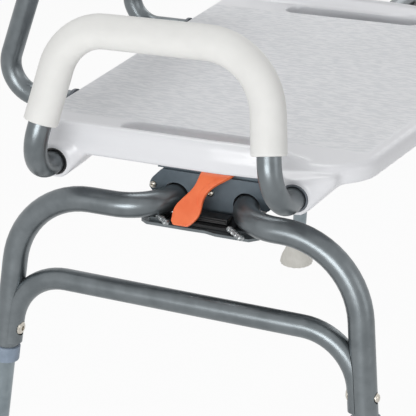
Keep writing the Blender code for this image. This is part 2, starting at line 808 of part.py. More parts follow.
def make_glide_block(end_name, end):
    """Plastic saddle behind a bracket that rides on both rails."""
    face = CARRIAGE_MIDDLE + end * (CARRIAGE_LENGTH / 2 - BRACKET_THICKNESS - GAP)
    arch = TUBE_RADIUS + GLIDE_FIT
    top = BRACKET_TOP - BRACKET_THICKNESS - GAP
    outline = saddle_outline(
        BRACKET_HALF_WIDTH - GAP, top, BRACKET_LOW, BRACKET_LOBE_LOW, arch, BRACKET_CORNER
    )

    def place(across, up):
        return Vector((RAIL_OFFSET + across, face, RAIL_HEIGHT + up))

    block = extruded(f"glide_block_{end_name}", outline, place, Y_AXIS * -end * GLIDE_LENGTH, "black_plastic")
    cuts = bracket_screw_cutters(f"glide_{end_name}", end)
    if end < 0:
        bottom = Vector((LOCK_ACROSS, LOCK_Y, RAIL_HEIGHT - BRACKET_LOW - BRACKET_THICKNESS))
        guide = LOCK_PIN_RADIUS + GAP
        cuts.append(cutter("lock_guide", bottom, Z_AXIS, guide, 3 * LOCK_GUIDE_LENGTH, TUBE_SIDES, X_AXIS))
        well = Vector((LOCK_ACROSS, LOCK_Y, RAIL_HEIGHT - BRACKET_LOW + LOCK_GUIDE_LENGTH))
        radius = LOCK_FLANGE_RADIUS + TUBE_FIT
        cuts.append(cutter("lock_well", well, Z_AXIS, radius, BRACKET_TOP, TUBE_SIDES, X_AXIS))
    combine(block, cuts)


def make_bracket_screws(end_name, end):
    face = CARRIAGE_MIDDLE + end * CARRIAGE_LENGTH / 2
    profile = [
        (BRACKET_SCREW_RADIUS, -BRACKET_SCREW_LENGTH),
        (BRACKET_SCREW_RADIUS, GAP),
        (BRACKET_HEAD_RADIUS, GAP),
        (BRACKET_HEAD_RADIUS * 0.85, GAP + BRACKET_HEAD_HEIGHT * 0.7),
        (BRACKET_HEAD_RADIUS * 0.5, GAP + BRACKET_HEAD_HEIGHT),
    ]
    for place, across in bracket_screw_places().items():
        base = Vector((RAIL_OFFSET + across, face, RAIL_HEIGHT + BRACKET_SCREW_HEIGHT))
        name = f"bracket_screw_{end_name}_{place}"
        turned(name, base, Y_AXIS * end, profile, "bright_steel", Z_AXIS, HOLE_SIDES)


def make_carriage_plate():
    half_length = CARRIAGE_LENGTH / 2 - BRACKET_THICKNESS
    low = (RAIL_OFFSET - CARRIAGE_PLATE_HALF_WIDTH, CARRIAGE_MIDDLE - half_length, CARRIAGE_PLATE_LOW)
    high = (RAIL_OFFSET + CARRIAGE_PLATE_HALF_WIDTH, CARRIAGE_MIDDLE + half_length, CARRIAGE_PLATE_TOP)
    plate = box_object("carriage_plate", low, high, "steel_bracket")
    start = Vector((LOCK_ACROSS, LOCK_Y, CARRIAGE_PLATE_LOW - BRACKET_THICKNESS))
    hole = LOCK_PIN_RADIUS + GAP
    combine(plate, [cutter("plate_lock", start, Z_AXIS, hole, 4 * BRACKET_THICKNESS, TUBE_SIDES, X_AXIS)])


def make_swivel():
    """Lower ring and post on the carriage; upper ring and plate under the seat."""
    centre = Vector((RAIL_OFFSET, SEAT_MIDDLE, 0.0))
    ring = ring_profile(RING_INNER_RADIUS, RING_OUTER_RADIUS, RING_HEIGHT)
    lower = centre + Z_AXIS * LOWER_RING_LOW
    turned("swivel_ring_lower", lower, Z_AXIS, ring, "black_plastic", X_AXIS, TURNED_SIDES, True)
    top = SEAT_LOW - GAP - LOWER_RING_LOW
    post = [
        (POST_FLANGE_RADIUS, 0.0),
        (POST_FLANGE_RADIUS, POST_FLANGE_HEIGHT),
        (POST_RADIUS, POST_FLANGE_HEIGHT),
        (POST_RADIUS, top),
    ]
    turned("swivel_post", lower, Z_AXIS, post, "steel_bracket", X_AXIS, TURNED_SIDES)
    upper = centre + Z_AXIS * UPPER_RING_LOW
    piece = turned("swivel_ring_upper", upper, Z_AXIS, ring, "grey_plastic", X_AXIS, TURNED_SIDES, True)
    set_origin(piece, upper)
    base = centre + Z_AXIS * SWIVEL_PLATE_LOW
    disc = ring_profile(POST_RADIUS + GAP, SWIVEL_PLATE_RADIUS, SWIVEL_PLATE_THICKNESS)
    plate = turned("swivel_plate", base, Z_AXIS, disc, "steel_bracket", X_AXIS, TURNED_SIDES, True)
    combine(plate, swivel_studs(), "UNION")


def seat_stud_places():
    angles = [math.radians(45 + 90 * i) for i in range(4)]
    return [
        Vector((
            RAIL_OFFSET + SEAT_SCREW_CIRCLE * math.cos(a),
            SEAT_MIDDLE + SEAT_SCREW_CIRCLE * math.sin(a),
            SWIVEL_PLATE_LOW,
        ))
        for a in angles
    ]


def swivel_studs():
    """Headed studs of the swivel plate that hold the seat."""
    profile = [
        (SEAT_SCREW_HEAD_RADIUS * 0.6, -SEAT_SCREW_HEAD_HEIGHT),
        (SEAT_SCREW_HEAD_RADIUS, -SEAT_SCREW_HEAD_EDGE),
        (SEAT_SCREW_HEAD_RADIUS, SWIVEL_PLATE_THICKNESS / 2),
        (SEAT_SCREW_RADIUS, SWIVEL_PLATE_THICKNESS / 2),
        (SEAT_SCREW_RADIUS, SEAT_SCREW_LENGTH),
    ]
    return [
        hide(turned(f"cut_stud_{i}", place, Z_AXIS, profile, None, X_AXIS, HOLE_SIDES))
        for i, place in enumerate(seat_stud_places())
    ]


def seat_stud_cutters():
    length = SEAT_SCREW_LENGTH + SWIVEL_PLATE_THICKNESS
    radius = SEAT_SCREW_RADIUS + HOLE_FIT
    return [
        cutter(f"seat_stud_{i}", place, Z_AXIS, radius, length, guide=X_AXIS)
        for i, place in enumerate(seat_stud_places())
    ]


# Release lever and lock

LEVER_STATIONS = [
    # in from the end plane, above the rails, left edge, right edge
    (-0.0010, -0.0110, -0.0095, 0.0045),
    (0.0010, -0.0080, -0.0128, 0.0095),
    (0.0045, -0.0025, -0.0133, 0.0140),
    (0.0085, 0.0035, -0.0128, 0.0152),
    (0.0120, 0.0090, -0.0085, 0.0150),
    (0.0150, 0.0138, -0.0038, 0.0156),
    (0.0185, 0.0192, 0.0012, 0.0180),
    (0.0220, 0.0246, 0.0042, 0.0236),
    (0.0255, 0.0300, 0.0056, 0.0325),
]


def lever_stations():
    """The lever's middle line with its two edges, from the handle's foot to the eye."""
    level = LEVER_MID - RAIL_HEIGHT
    bend = [(0.0285, level - 0.0012, LEVER_LEFT, LEVER_RIGHT - 0.002)]
    bend += [(0.0330, level, LEVER_LEFT, LEVER_RIGHT), (0.0600, level, LEVER_LEFT, LEVER_RIGHT)]
    bend.append((LEVER_PIVOT, level, LEVER_LEFT, LEVER_RIGHT))
    return LEVER_STATIONS + bend


def make_release_lever():
    stations = lever_stations()
    builder = bmesh.new()
    rings = []
    for i, (inward, up, left, right) in enumerate(stations):
        ahead = stations[min(i + 1, len(stations) - 1)]
        behind = stations[max(i - 1, 0)]
        run = Vector((0.0, ahead[0] - behind[0], ahead[1] - behind[1])).normalized()
        face = Vector((0.0, -run.z, run.y)) * LEVER_THICKNESS / 2
        middle = Vector((0.0, NEAR_PLANE + inward, RAIL_HEIGHT + up))
        corners = [(left, -1), (right, -1), (right, 1), (left, 1)]
        rings.append([middle + X_AXIS * x + face * sign for x, sign in corners])
    skin(builder, rings)
    lever = add_object("release_lever", builder, "orange_plastic")
    eye = Vector((LEVER_LEFT, PIVOT_Y, LEVER_MID))
    barrel = turned(
        "cut_lever_eye", eye, X_AXIS, [(LEVER_EYE_RADIUS, 0.0), (LEVER_EYE_RADIUS, LEVER_RIGHT - LEVER_LEFT)],
        None, Z_AXIS, TUBE_SIDES,
    )
    combine(lever, [hide(barrel)], "UNION")
    bore = cutter(
        "lever_bore", eye - X_AXIS * EAR_THICKNESS, X_AXIS, LEVER_PIN_RADIUS + GAP,
        LEVER_RIGHT - LEVER_LEFT + 2 * EAR_THICKNESS,
    )
    below = Vector((LOCK_ACROSS, LOCK_Y, LEVER_LOW - LEVER_THICKNESS))
    slot = cutter("lever_slot", below, Z_AXIS, LEVER_SLOT_RADIUS, 3 * LEVER_THICKNESS, TUBE_SIDES, X_AXIS)
    combine(lever, [bore, slot])
    set_origin(lever, (LOCK_ACROSS, PIVOT_Y, LEVER_MID))


def make_lever_hinge():
    """Two ears on a foot that hold the lever's pin, and the pin."""
    base = CARRIAGE_PLATE_TOP + GAP
    left = LEVER_LEFT - GAP - EAR_THICKNESS
    right = LEVER_RIGHT + GAP + EAR_THICKNESS
    outline = [(left, 0.0), (right, 0.0), (right, EAR_HEIGHT), (right - EAR_THICKNESS, EAR_HEIGHT)]
    outline += [(right - EAR_THICKNESS, EAR_FOOT), (left + EAR_THICKNESS, EAR_FOOT)]
    outline += [(left + EAR_THICKNESS, EAR_HEIGHT), (left, EAR_HEIGHT)]
    start_y = PIVOT_Y - LEVER_EYE_RADIUS - EAR_THICKNESS
    under_eye = PIVOT_Y + LEVER_EYE_RADIUS + GAP

    def place(x, up):
        return Vector((x, start_y, base + up))

    depth = under_eye + 2 * EAR_THICKNESS - start_y
    hinge = extruded("lever_hinge", outline, place, Y_AXIS * depth, "steel_bracket")
    low = (left + EAR_THICKNESS, start_y - EAR_THICKNESS, base - EAR_THICKNESS)
    high = (right - EAR_THICKNESS, under_eye, base + 2 * EAR_FOOT)
    combine(hinge, [hide(box_object("cut_under_eye", low, high, None))])
    start = Vector((left - EAR_THICKNESS, PIVOT_Y, LEVER_MID))
    span = right - left + 2 * EAR_THICKNESS
    combine(hinge, [cutter("ear_bore", start, X_AXIS, LEVER_PIN_RADIUS + GAP, span)])
    pin_start = Vector((left - GAP, PIVOT_Y, LEVER_MID))
    turned(
        "lever_pin", pin_start, X_AXIS,
        [(LEVER_PIN_RADIUS, 0.0), (LEVER_PIN_RADIUS, right - left + 2 * GAP)],
        "bright_steel", Z_AXIS, HOLE_SIDES,
    )


def lock_flange_low():
    return RAIL_HEIGHT - BRACKET_LOW + LOCK_GUIDE_LENGTH + GAP


def make_lock_pin():
    """The pin that drops into the rack, lifted by its cross pin on the lever."""
    tip = RACK_TOP - LOCK_PIN_REACH
    lever_top = LEVER_LOW + LEVER_THICKNESS
    head = lever_top + LOCK_PIN_HEAD
    low = lock_flange_low()
    profile = [
        (LOCK_PIN_RADIUS - 0.0008, tip),
        (LOCK_PIN_RADIUS, tip + 0.001),
        (LOCK_PIN_RADIUS, low),
        (LOCK_FLANGE_RADIUS, low),
        (LOCK_FLANGE_RADIUS, low + LOCK_FLANGE_THICKNESS),
        (LOCK_PIN_RADIUS, low + LOCK_FLANGE_THICKNESS),
        (LOCK_PIN_RADIUS, head),
    ]
    base = Vector((LOCK_ACROSS, LOCK_Y, 0.0))
    pin = turned("lock_pin", base, Z_AXIS, profile, "bright_steel", X_AXIS, TUBE_SIDES)
    height = lever_top + GAP + CROSS_PIN_RADIUS
    start = Vector((LOCK_ACROSS - CROSS_PIN_LENGTH / 2, LOCK_Y, height))
    cross = turned(
        "cut_cross_pin", start, X_AXIS, [(CROSS_PIN_RADIUS, 0.0), (CROSS_PIN_RADIUS, CROSS_PIN_LENGTH)],
        None, Z_AXIS, HOLE_SIDES,
    )
    combine(pin, [hide(cross)], "UNION")
    set_origin(pin, (LOCK_ACROSS, LOCK_Y, height))


def make_lock_spring():
    """A coil round the pin, between its flange and the carriage plate."""
    low = lock_flange_low() + LOCK_FLANGE_THICKNESS + SPRING_WIRE + GAP
    high = CARRIAGE_PLATE_LOW - SPRING_WIRE - GAP
    points_per_turn = 8
    count = SPRING_TURNS * points_per_turn
    path = []
    for i in range(count + 1):
        angle = 2 * math.pi * i / points_per_turn
        across = Vector((math.cos(angle), math.sin(angle), 0.0)) * SPRING_RADIUS
        path.append(Vector((LOCK_ACROSS, LOCK_Y, low + (high - low) * i / count)) + across)
    frames = path_frames(path, Z_AXIS)
    builder = bmesh.new()
    skin(builder, tube_rings(path, frames, SPRING_WIRE, 6))
    spring = add_object("lock_spring", builder, "bright_steel")
    set_origin(spring, (LOCK_ACROSS, LOCK_Y, high))


# Seat

def seat_outline():
    """The seat's edge seen from above, rounded at every corner."""
    near = NEAR_PLANE + SEAT_EDGE
    far = near + SEAT_LENGTH
    corner_x, corner_in = SEAT_CORNER
    near_half = [
        (SEAT_REAR, near, SEAT_REAR_CORNER),
        (SEAT_BOW, near, SEAT_BOW_BEND),
        (corner_x, near + corner_in, SEAT_CORNER_BEND),
    ]
    far_half = [(x, near + far - y, bend) for x, y, bend in reversed(near_half)]
    corners = near_half + [(SEAT_CROWN, SEAT_MIDDLE, SEAT_CROWN_BEND)] + far_half
    middle = Vector((SEAT_REAR, SEAT_MIDDLE, 0.0))
    points = [middle] + [Vector((x, y, 0.0)) for x, y, _ in corners] + [middle]
    path = rounded_path(points, [bend for _, _, bend in corners], OUTLINE_STEP)
    return path[1:-1]


def inset_outline(outline, inset):
    """The outline moved inwards square to its edges."""
    moved = []
    count = len(outline)
    for i, point in enumerate(outline):
        run = (outline[(i + 1) % count] - outline[i - 1]).normalized()
        moved.append(point + Vector((-run.y, run.x, 0.0)) * inset)
    return moved


def rounded_slab(outline, low, high, lower_edge, upper_edge, steps=3):
    """Rings of a slab with quarter-round edges at its bottom and its top."""
    rings = []
    for i in range(steps + 1):
        angle = math.pi / 2 * i / steps
        level = low + lower_edge * (1 - math.cos(angle))
        ring = inset_outline(outline, lower_edge * (1 - math.sin(angle)))
        rings.append([Vector((p.x, p.y, level)) for p in ring])
    for i in range(steps + 1):
        angle = math.pi / 2 * i / steps
        level = high - upper_edge * (1 - math.sin(angle))
        ring = inset_outline(outline, upper_edge * (1 - math.cos(angle)))
        rings.append([Vector((p.x, p.y, level)) for p in ring])
    return rings


def end_point(end, x, inward, up):
    """A point by its place in from the frame's end plane and above the rails."""
    y = SEAT_MIDDLE + end * (SEAT_LENGTH / 2 + SEAT_EDGE - inward)
    return Vector((x, y, RAIL_HEIGHT + up))


def boss_places():
    """Name, end, centre of the mouth and direction into the seat for the four armrest sockets."""
    places = []
    for end_name, end in ENDS.items():
        for side_name, across in (("rear", BOSS_REAR), ("front", BOSS_FRONT)):
            mouth = end_point(end, across, BOSS_MOUTH, BOSS_HEIGHT)
            places.append((f"{end_name}_{side_name}", mouth, Y_AXIS * -end))
    return places


def make_boss(label, centre, inward):
    """A faired socket body: a round mouth that widens into the seat's skirt."""
    builder = bmesh.new()
    points = circle(centre, X_AXIS, Z_AXIS, BOSS_RADIUS, 16)
    points += circle(centre + inward * BOSS_DEPTH, X_AXIS, Z_AXIS, BOSS_RADIUS, 16)
    low = SKIRT_LOW + SEAT_LOWER_EDGE
    high = FIELD_TOP - SEAT_UPPER_EDGE
    start = SEAT_EDGE - BOSS_MOUTH + BOSS_NOSE
    for depth in (start, BOSS_DEPTH):
        for across in (-BOSS_FAIRING, BOSS_FAIRING):
            for level in (low, high):
                points.append(Vector((centre.x + across, centre.y, level)) + inward * depth)
    for point in points:
        builder.verts.new(point)
    hull = bmesh.ops.convex_hull(builder, input=builder.verts)
    spare = [part for part in hull["geom_interior"] if isinstance(part, bmesh.types.BMVert)]
    bmesh.ops.delete(builder, geom=spare, context="VERTS")
    return hide(add_object(f"cut_boss_{label}", builder, None))


RIM_STATIONS = [
    # along the seat's end, set back from its face, share of the rim's rise
    (-0.154, 0.0075, 0.0),
    (-0.138, 0.0015, 0.75),
    (-0.120, 0.0, 1.0),
    (0.040, 0.0, 1.0),
    (0.100, 0.0080, 0.85),
    (0.136, 0.0150, 0.0),
]
RIM_PROFILE = [
    # in from the face, share of the rise
    (0.0010, 0.10),
    (0.0020, 0.62),
    (0.0045, 0.92),
    (0.0080, 1.00),
    (0.0130, 0.92),
    (0.0245, 0.45),
    (0.0280, 0.0),
]


def make_rim(end_name, end):
    """The raised rim along one end of the seat, fading out at its corners."""
    builder = bmesh.new()
    rings = []
    low = SKIRT_LOW + SEAT_LOWER_EDGE
    base = FIELD_TOP - SEAT_UPPER_EDGE
    for x, back, share in RIM_STATIONS:
        section = [(RIM_PROFILE[-1][0], low), (RIM_PROFILE[0][0], low)]
        height = (SEAT_UPPER_EDGE + RIM_RISE) * share
        section += [(inward, base + height * rise) for inward, rise in RIM_PROFILE]
        face = SEAT_MIDDLE + end * (SEAT_LENGTH / 2 - back)
        rings.append([Vector((x, face - end * inward, level)) for inward, level in section])
    skin(builder, rings)
    return hide(add_object(f"cut_rim_{end_name}", builder, None))


def make_handhold(end_name, end):
    """A long hole through the seat inside its rim."""
    face = SEAT_MIDDLE + end * SEAT_LENGTH / 2
    outer, inner = face - end * HOLD_OUTER, face - end * HOLD_INNER
    start = Vector(((HOLD_REAR + HOLD_FRONT) / 2, outer, 0.0))
    corners = [(HOLD_REAR, outer), (HOLD_REAR, inner), (HOLD_FRONT, inner), (HOLD_FRONT, outer)]
    points = [start] + [Vector((x, y, 0.0)) for x, y in corners] + [start]
    path = rounded_path(points, [HOLD_CORNER] * 4, BEND_STEP)[1:-1]
    builder = bmesh.new()
    levels = (SEAT_LOW - SEAT_LOWER_EDGE, FIELD_TOP + 2 * RIM_RISE)
    skin(builder, [[Vector((p.x, p.y, level)) for p in path] for level in levels])
    return hide(add_object(f"cut_hold_{end_name}", builder, None))


def back_places():
    return [("near", SEAT_MIDDLE - BACK_SPACING / 2), ("far", SEAT_MIDDLE + BACK_SPACING / 2)]


def make_back_socket(label, y):
    """A block under the seat's rear that holds one end of the backrest hoop."""
    half = BACK_SOCKET_WIDTH / 2
    low = (SEAT_REAR + SEAT_UPPER_EDGE / 2, y - half, SEAT_LOW + BACK_SOCKET_LIFT)
    high = (SEAT_REAR + BACK_SOCKET_DEPTH + SEAT_UPPER_EDGE, y + half, FIELD_TOP - SEAT_UPPER_EDGE)
    return hide(box_object(f"cut_back_socket_{label}", low, high, None))


def make_seat_shell():
    builder = bmesh.new()
    skin(builder, rounded_slab(seat_outline(), SKIRT_LOW, FIELD_TOP, SEAT_LOWER_EDGE, SEAT_UPPER_EDGE))
    seat = add_object("seat_shell", builder, "white_plastic")
    pad_base = Vector((RAIL_OFFSET, SEAT_MIDDLE, SEAT_LOW))
    pad_profile = [
        (SEAT_PAD_RADIUS - SEAT_PAD_EDGE, 0.0),
        (SEAT_PAD_RADIUS, SEAT_PAD_EDGE),
        (SEAT_PAD_RADIUS, SKIRT_LOW - SEAT_LOW + SEAT_LOWER_EDGE),
    ]
    bodies = [hide(turned("cut_pad", pad_base, Z_AXIS, pad_profile, None, X_AXIS))]
    bodies += [make_boss(label, centre, inward) for label, centre, inward in boss_places()]
    bodies += [make_rim(end_name, end) for end_name, end in ENDS.items()]
    bodies += [make_back_socket(label, y) for label, y in back_places()]
    combine(seat, bodies, "UNION")
    cuts = [make_handhold(end_name, end) for end_name, end in ENDS.items()]
    for label, centre, inward in boss_places():
        start = centre - inward * BOSS_RADIUS
        length = BOSS_RADIUS + BOSS_DEPTH - BUSH_WALL
        radius = ARM_RADIUS + TUBE_FIT + BUSH_WALL + GAP
        cuts.append(cutter(f"socket_{label}", start, inward, radius, length, 16))
    for label, y in back_places():
        start = Vector((SEAT_REAR - BACK_RADIUS, y, RAIL_HEIGHT + BACK_SOCKET_HEIGHT))
        length = BACK_RADIUS + BACK_SOCKET_DEPTH + TUBE_FIT
        cuts.append(cutter(f"back_{label}", start, X_AXIS, BACK_RADIUS + GAP, length, TUBE_SIDES, Y_AXIS))
    cuts += seat_stud_cutters()
    combine(seat, cuts)


def make_arm_bushes():
    for label, centre, inward in boss_places():
        inner = ARM_RADIUS + TUBE_FIT
        profile = ring_profile(inner, inner + BUSH_WALL, BUSH_LENGTH)
        finish = "grey_plastic" if label.endswith("front") else "black_plastic"
        start = centre - inward * BUSH_WALL / 3
        turned(f"arm_bush_{label}", start, inward, profile, finish, Z_AXIS, 16, True)


def make_back_rings():
    for label, y in back_places():
        inner = BACK_RADIUS + GAP
        start = Vector((SEAT_REAR - GAP, y, RAIL_HEIGHT + BACK_SOCKET_HEIGHT))
        profile = ring_profile(inner, BACK_RING_RADIUS, BACK_RING_THICKNESS)
        turned(f"back_ring_{label}", start, -X_AXIS, profile, "grey_plastic", Y_AXIS, TUBE_SIDES, True)


# Armrests

def arm_corners(end):
    """Mouth, elbow, two upper corners, elbow and mouth of one armrest."""
    depth = BOSS_MOUTH + ARM_REACH
    rear_x, rear_up = ARM_REAR_CORNER
    front_x, front_up = ARM_FRONT_CORNER
    return [
        end_point(end, BOSS_REAR, depth, BOSS_HEIGHT),
        end_point(end, BOSS_REAR, ARM_ELBOW, BOSS_HEIGHT),
        end_point(end, rear_x, ARM_TOP_PLANE, rear_up),
        end_point(end, front_x, ARM_TOP_PLANE, front_up),
        end_point(end, BOSS_FRONT, ARM_ELBOW, BOSS_HEIGHT),
        end_point(end, BOSS_FRONT, depth, BOSS_HEIGHT),
    ]


def make_armrest(end_name, end):
    corners = arm_corners(end)
    path = rounded_path(corners, [ARM_ELBOW_BEND, ARM_REAR_BEND, ARM_FRONT_BEND, ARM_ELBOW_BEND])
    top = max(range(len(path)), key=lambda i: path[i].z)
    frames = path_frames(path, Y_AXIS, top)
    hollow_tube(f"armrest_tube_{end_name}", path, frames, ARM_RADIUS, ARM_RADIUS - ARM_WALL, "frame_tube")
    level = RAIL_HEIGHT + GRIP_END
    grip = [on_level(corners[1], corners[2], level), corners[2], corners[3]]
    grip.append(on_level(corners[4], corners[3], level))
    route = rounded_path(grip, [ARM_REAR_BEND, ARM_FRONT_BEND])
    frames = path_frames(route, Y_AXIS, len(route) // 2)
    hollow_tube(f"armrest_grip_{end_name}", route, frames, GRIP_DIAMETER / 2, ARM_RADIUS + GAP, "white_foam")


def on_level(first, second, level):
    """The point between two others that is at a height."""
    return first.lerp(second, (level - first.z) / (second.z - first.z))


# Backrest

def back_corners():
    near, far = back_places()[0][1], back_places()[1][1]
    end_x = SEAT_REAR + BACK_SOCKET_DEPTH
    profile = [(end_x, BACK_SOCKET_HEIGHT), (BACK_HEEL, BACK_SOCKET_HEIGHT), BACK_KNEE]
    profile.append((BACK_KNEE[0], BACK_TOP))
    first = [Vector((x, near, RAIL_HEIGHT + up)) for x, up in profile]
    return first + [Vector((p.x, far, p.z)) for p in reversed(first)]


def panel_peg_places():
    places = []
    for _, y in back_places():
        for level in (PANEL_LOW + PANEL_PEG_INSET, PANEL_HIGH - PANEL_PEG_INSET - BACK_CORNER_BEND / 2):
            places.append(Vector((BACK_KNEE[0], y, RAIL_HEIGHT + level)))
    return places


def panel_pegs(label, radius, reach):
    start = X_AXIS * reach
    length = reach + BACK_RADIUS + PANEL_THICKNESS / 2
    return [
        cutter(f"{label}_{i}", place - start, X_AXIS, radius, length)
        for i, place in enumerate(panel_peg_places())
    ]


def make_backrest():
    bends = [BACK_HEEL_BEND, BACK_KNEE_BEND, BACK_CORNER_BEND]
    path = rounded_path(back_corners(), bends + bends[::-1])
    frames = path_frames(path, Y_AXIS, 0)
    hoop = hollow_tube("backrest_tube", path, frames, BACK_RADIUS, BACK_RADIUS - BACK_WALL, "frame_tube")
    combine(hoop, panel_pegs("hoop_hole", PANEL_PEG_RADIUS + HOLE_FIT, BACK_RADIUS + 2 * PANEL_PEG_REACH))

    half, corner = PANEL_WIDTH / 2, PANEL_CORNER
    low, high = RAIL_HEIGHT + PANEL_LOW, RAIL_HEIGHT + PANEL_HIGH
    corners = [(half, low), (half, high), (-half, high), (-half, low)]
    middle = Vector((0.0, low, 0.0))
    path = rounded_path([middle] + [Vector((*c, 0.0)) for c in corners] + [middle], [corner] * 4)[1:-1]
    rings = rounded_slab(path, 0.0, PANEL_THICKNESS, 0.004, 0.004, 2)
    face = BACK_KNEE[0] + BACK_RADIUS + GAP
    builder = bmesh.new()
    skin(builder, [[Vector((face + p.z, SEAT_MIDDLE + p.x, p.y)) for p in ring] for ring in rings])
    panel = add_object("backrest_panel", builder, "white_plastic")
    combine(panel, panel_pegs("panel_peg", PANEL_PEG_RADIUS, BACK_RADIUS + PANEL_PEG_REACH), "UNION")


def build():
    clear_scene()
    for side_name, side in SIDES.items():
        make_side_tube(side_name, side)
    for end_name, end in ENDS.items():
        make_crossbar(end_name, end)
        make_weld_plate(end_name, end)
        for side_name, side in SIDES.items():
            make_leg_collar(side_name, side, end_name, end)
            make_leg_extension(side_name, side, end_name, end)
            make_foot_tip(side_name, side, end_name, end)
            make_leg_button(side_name, side, end_name, end)
            make_crossbar_screw(side_name, side, end_name, end)
        make_carriage_bracket(end_name, end)
        make_glide_block(end_name, end)
        make_bracket_screws(end_name, end)
        make_armrest(end_name, end)
    make_lock_rack()
    make_carriage_plate()
    make_swivel()
    make_release_lever()
    make_lever_hinge()
    make_lock_pin()
    make_lock_spring()
    make_seat_shell()
    make_arm_bushes()
    make_back_rings()
    make_backrest()


build()
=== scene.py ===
"""Studio view of the tub transfer bench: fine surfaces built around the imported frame.

Metres, +Z up, +X to the seat's front, +Y along the rails from the seat's resting end.
"""
import math

import bmesh
import bpy
from mathutils import Matrix, Vector


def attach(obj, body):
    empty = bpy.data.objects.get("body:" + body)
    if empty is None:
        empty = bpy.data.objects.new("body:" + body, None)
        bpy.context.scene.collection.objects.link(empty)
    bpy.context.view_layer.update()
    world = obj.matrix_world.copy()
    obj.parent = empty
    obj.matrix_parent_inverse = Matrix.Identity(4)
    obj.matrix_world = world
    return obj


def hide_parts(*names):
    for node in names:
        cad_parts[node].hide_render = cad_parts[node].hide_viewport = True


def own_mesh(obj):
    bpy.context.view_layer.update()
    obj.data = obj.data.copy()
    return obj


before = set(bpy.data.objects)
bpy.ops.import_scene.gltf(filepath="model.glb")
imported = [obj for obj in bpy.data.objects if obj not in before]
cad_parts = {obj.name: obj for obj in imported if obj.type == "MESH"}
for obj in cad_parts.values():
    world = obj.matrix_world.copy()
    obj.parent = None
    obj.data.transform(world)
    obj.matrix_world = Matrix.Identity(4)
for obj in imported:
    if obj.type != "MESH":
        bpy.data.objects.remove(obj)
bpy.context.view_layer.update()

# The bench's sizes, in metres
RAIL_HEIGHT = 0.499
FRAME_LENGTH = 0.861
LEG_SPREAD = 0.352
RAIL_SPACING = 0.0754
RAIL_OFFSET = 0.0112
TUBE_RADIUS = 0.0127
SLIM_TUBE_RADIUS = 0.0111
TUBE_WALL = 0.0013
SPLAY_ACROSS = 0.114
SPLAY_ALONG = 0.133
SHOULDER_BEND = 0.0843
RAIL_BEND = 0.048
LEG_END_DEPTH = 0.1665
LEG_BORE_DEPTH = 0.0885
COLLAR_LENGTH = 0.0165
EXTENSION_DEPTH = 0.080
BUTTON_DEPTH = 0.1475
BUTTON_SPACING = 0.010
CROSSBAR_DEPTHS = {"rear": 0.0851, "front": 0.0888}
CROSSBAR_END_DEPTH = 0.1615
CROSSBAR_BEND = 0.060
CROSSBAR_INSET = 0.0058
CROSSBAR_SCREW_DEPTH = 0.1455
SCREW_HEAD_RADIUS = 0.0072
SCREW_HEAD_HEIGHT = 0.0030
SCREW_HEAD_SINK = 0.0027
CARRIAGE_EDGE = 0.040
CARRIAGE_LENGTH = 0.425
BRACKET_HALF_WIDTH = 0.0665
BRACKET_THICKNESS = 0.003
BRACKET_TOP = 0.0268
BRACKET_SCREWS = {"rear": -0.0620, "middle": 0.0, "front": 0.0620}
BRACKET_SCREW_HEIGHT = 0.009
LEVER_TOP = 0.03405
SEAT_EDGE = -0.014
SEAT_LENGTH = 0.533
SEAT_TOP = 0.071
SEAT_SKIRT = 0.052
SEAT_REAR = -0.172
SEAT_PAD_BASE = 0.0453
SEAT_PAD_RADIUS = 0.132
RIM_BASE = SEAT_TOP - 0.006
ARM_SOCKETS = {"rear": -0.1267, "front": 0.1206}
ARM_SOCKET_HEIGHT = 0.044
ARM_SOCKET_REACH = 0.006
GRIP_RADIUS = 0.0163
GRIP_END_HEIGHT = 0.098
BACK_KNEE = -0.2066
BACK_HALF_SPACING = 0.14225
BACK_SOCKET_HEIGHT = 0.0565
PANEL_HALF_WIDTH = 0.180
PANEL_LOW = 0.205
PANEL_HIGH = 0.335
PANEL_THICKNESS = 0.018
SWIVEL_LOW = 0.0304
GAP = 0.0003

NEAR_PLANE = -FRAME_LENGTH / 2
SEAT_MIDDLE = NEAR_PLANE + SEAT_EDGE + SEAT_LENGTH / 2
CARRIAGE_MIDDLE = NEAR_PLANE + CARRIAGE_EDGE + CARRIAGE_LENGTH / 2
ENDS = {"near": -1, "far": 1}
SIDES = {"rear": -1, "front": 1}
X_AXIS = Vector((1, 0, 0))
Y_AXIS = Vector((0, 1, 0))
Z_AXIS = Vector((0, 0, 1))


# Finishes

def colour(hex_code):
    """An sRGB hex value as the linear colour that a shader takes."""
    parts = [int(hex_code[i:i + 2], 16) / 255 for i in (1, 3, 5)]
    return (*[p / 12.92 if p <= 0.04045 else ((p + 0.055) / 1.055) ** 2.4 for p in parts], 1.0)


def node(tree, kind, settings=None, inputs=None):
    """Add a shader node with its settings, its values and its links."""
    made = tree.nodes.new("ShaderNode" + kind)
    for name, value in (settings or {}).items():
        setattr(made, name, value)
    for name, value in (inputs or {}).items():
        if isinstance(value, bpy.types.NodeSocket):
            tree.links.new(value, made.inputs[name])
        else:
            made.inputs[name].default_value = value
    return made


def start_finish(name, **sockets):
    finish = bpy.data.materials.new(name)
    finish.use_nodes = True
    shader = finish.node_tree.nodes["Principled BSDF"]
    for socket, value in sockets.items():
        shader.inputs[socket.replace("_", " ")].default_value = value
    place = node(finish.node_tree, "TexCoord").outputs["Object"]
    return finish, finish.node_tree, shader, place


def speckle(tree, place, per_metre, detail=2.0, stretch=(1, 1, 1)):
    """Noise with so many blobs to the metre, drawn out along an axis if asked."""
    spread = node(tree, "Mapping", None, {"Vector": place, "Scale": stretch})
    return node(tree, "TexNoise", None, {
        "Vector": spread.outputs[0], "Scale": per_metre, "Detail": detail, "Roughness": 0.55,
    }).outputs["Fac"]


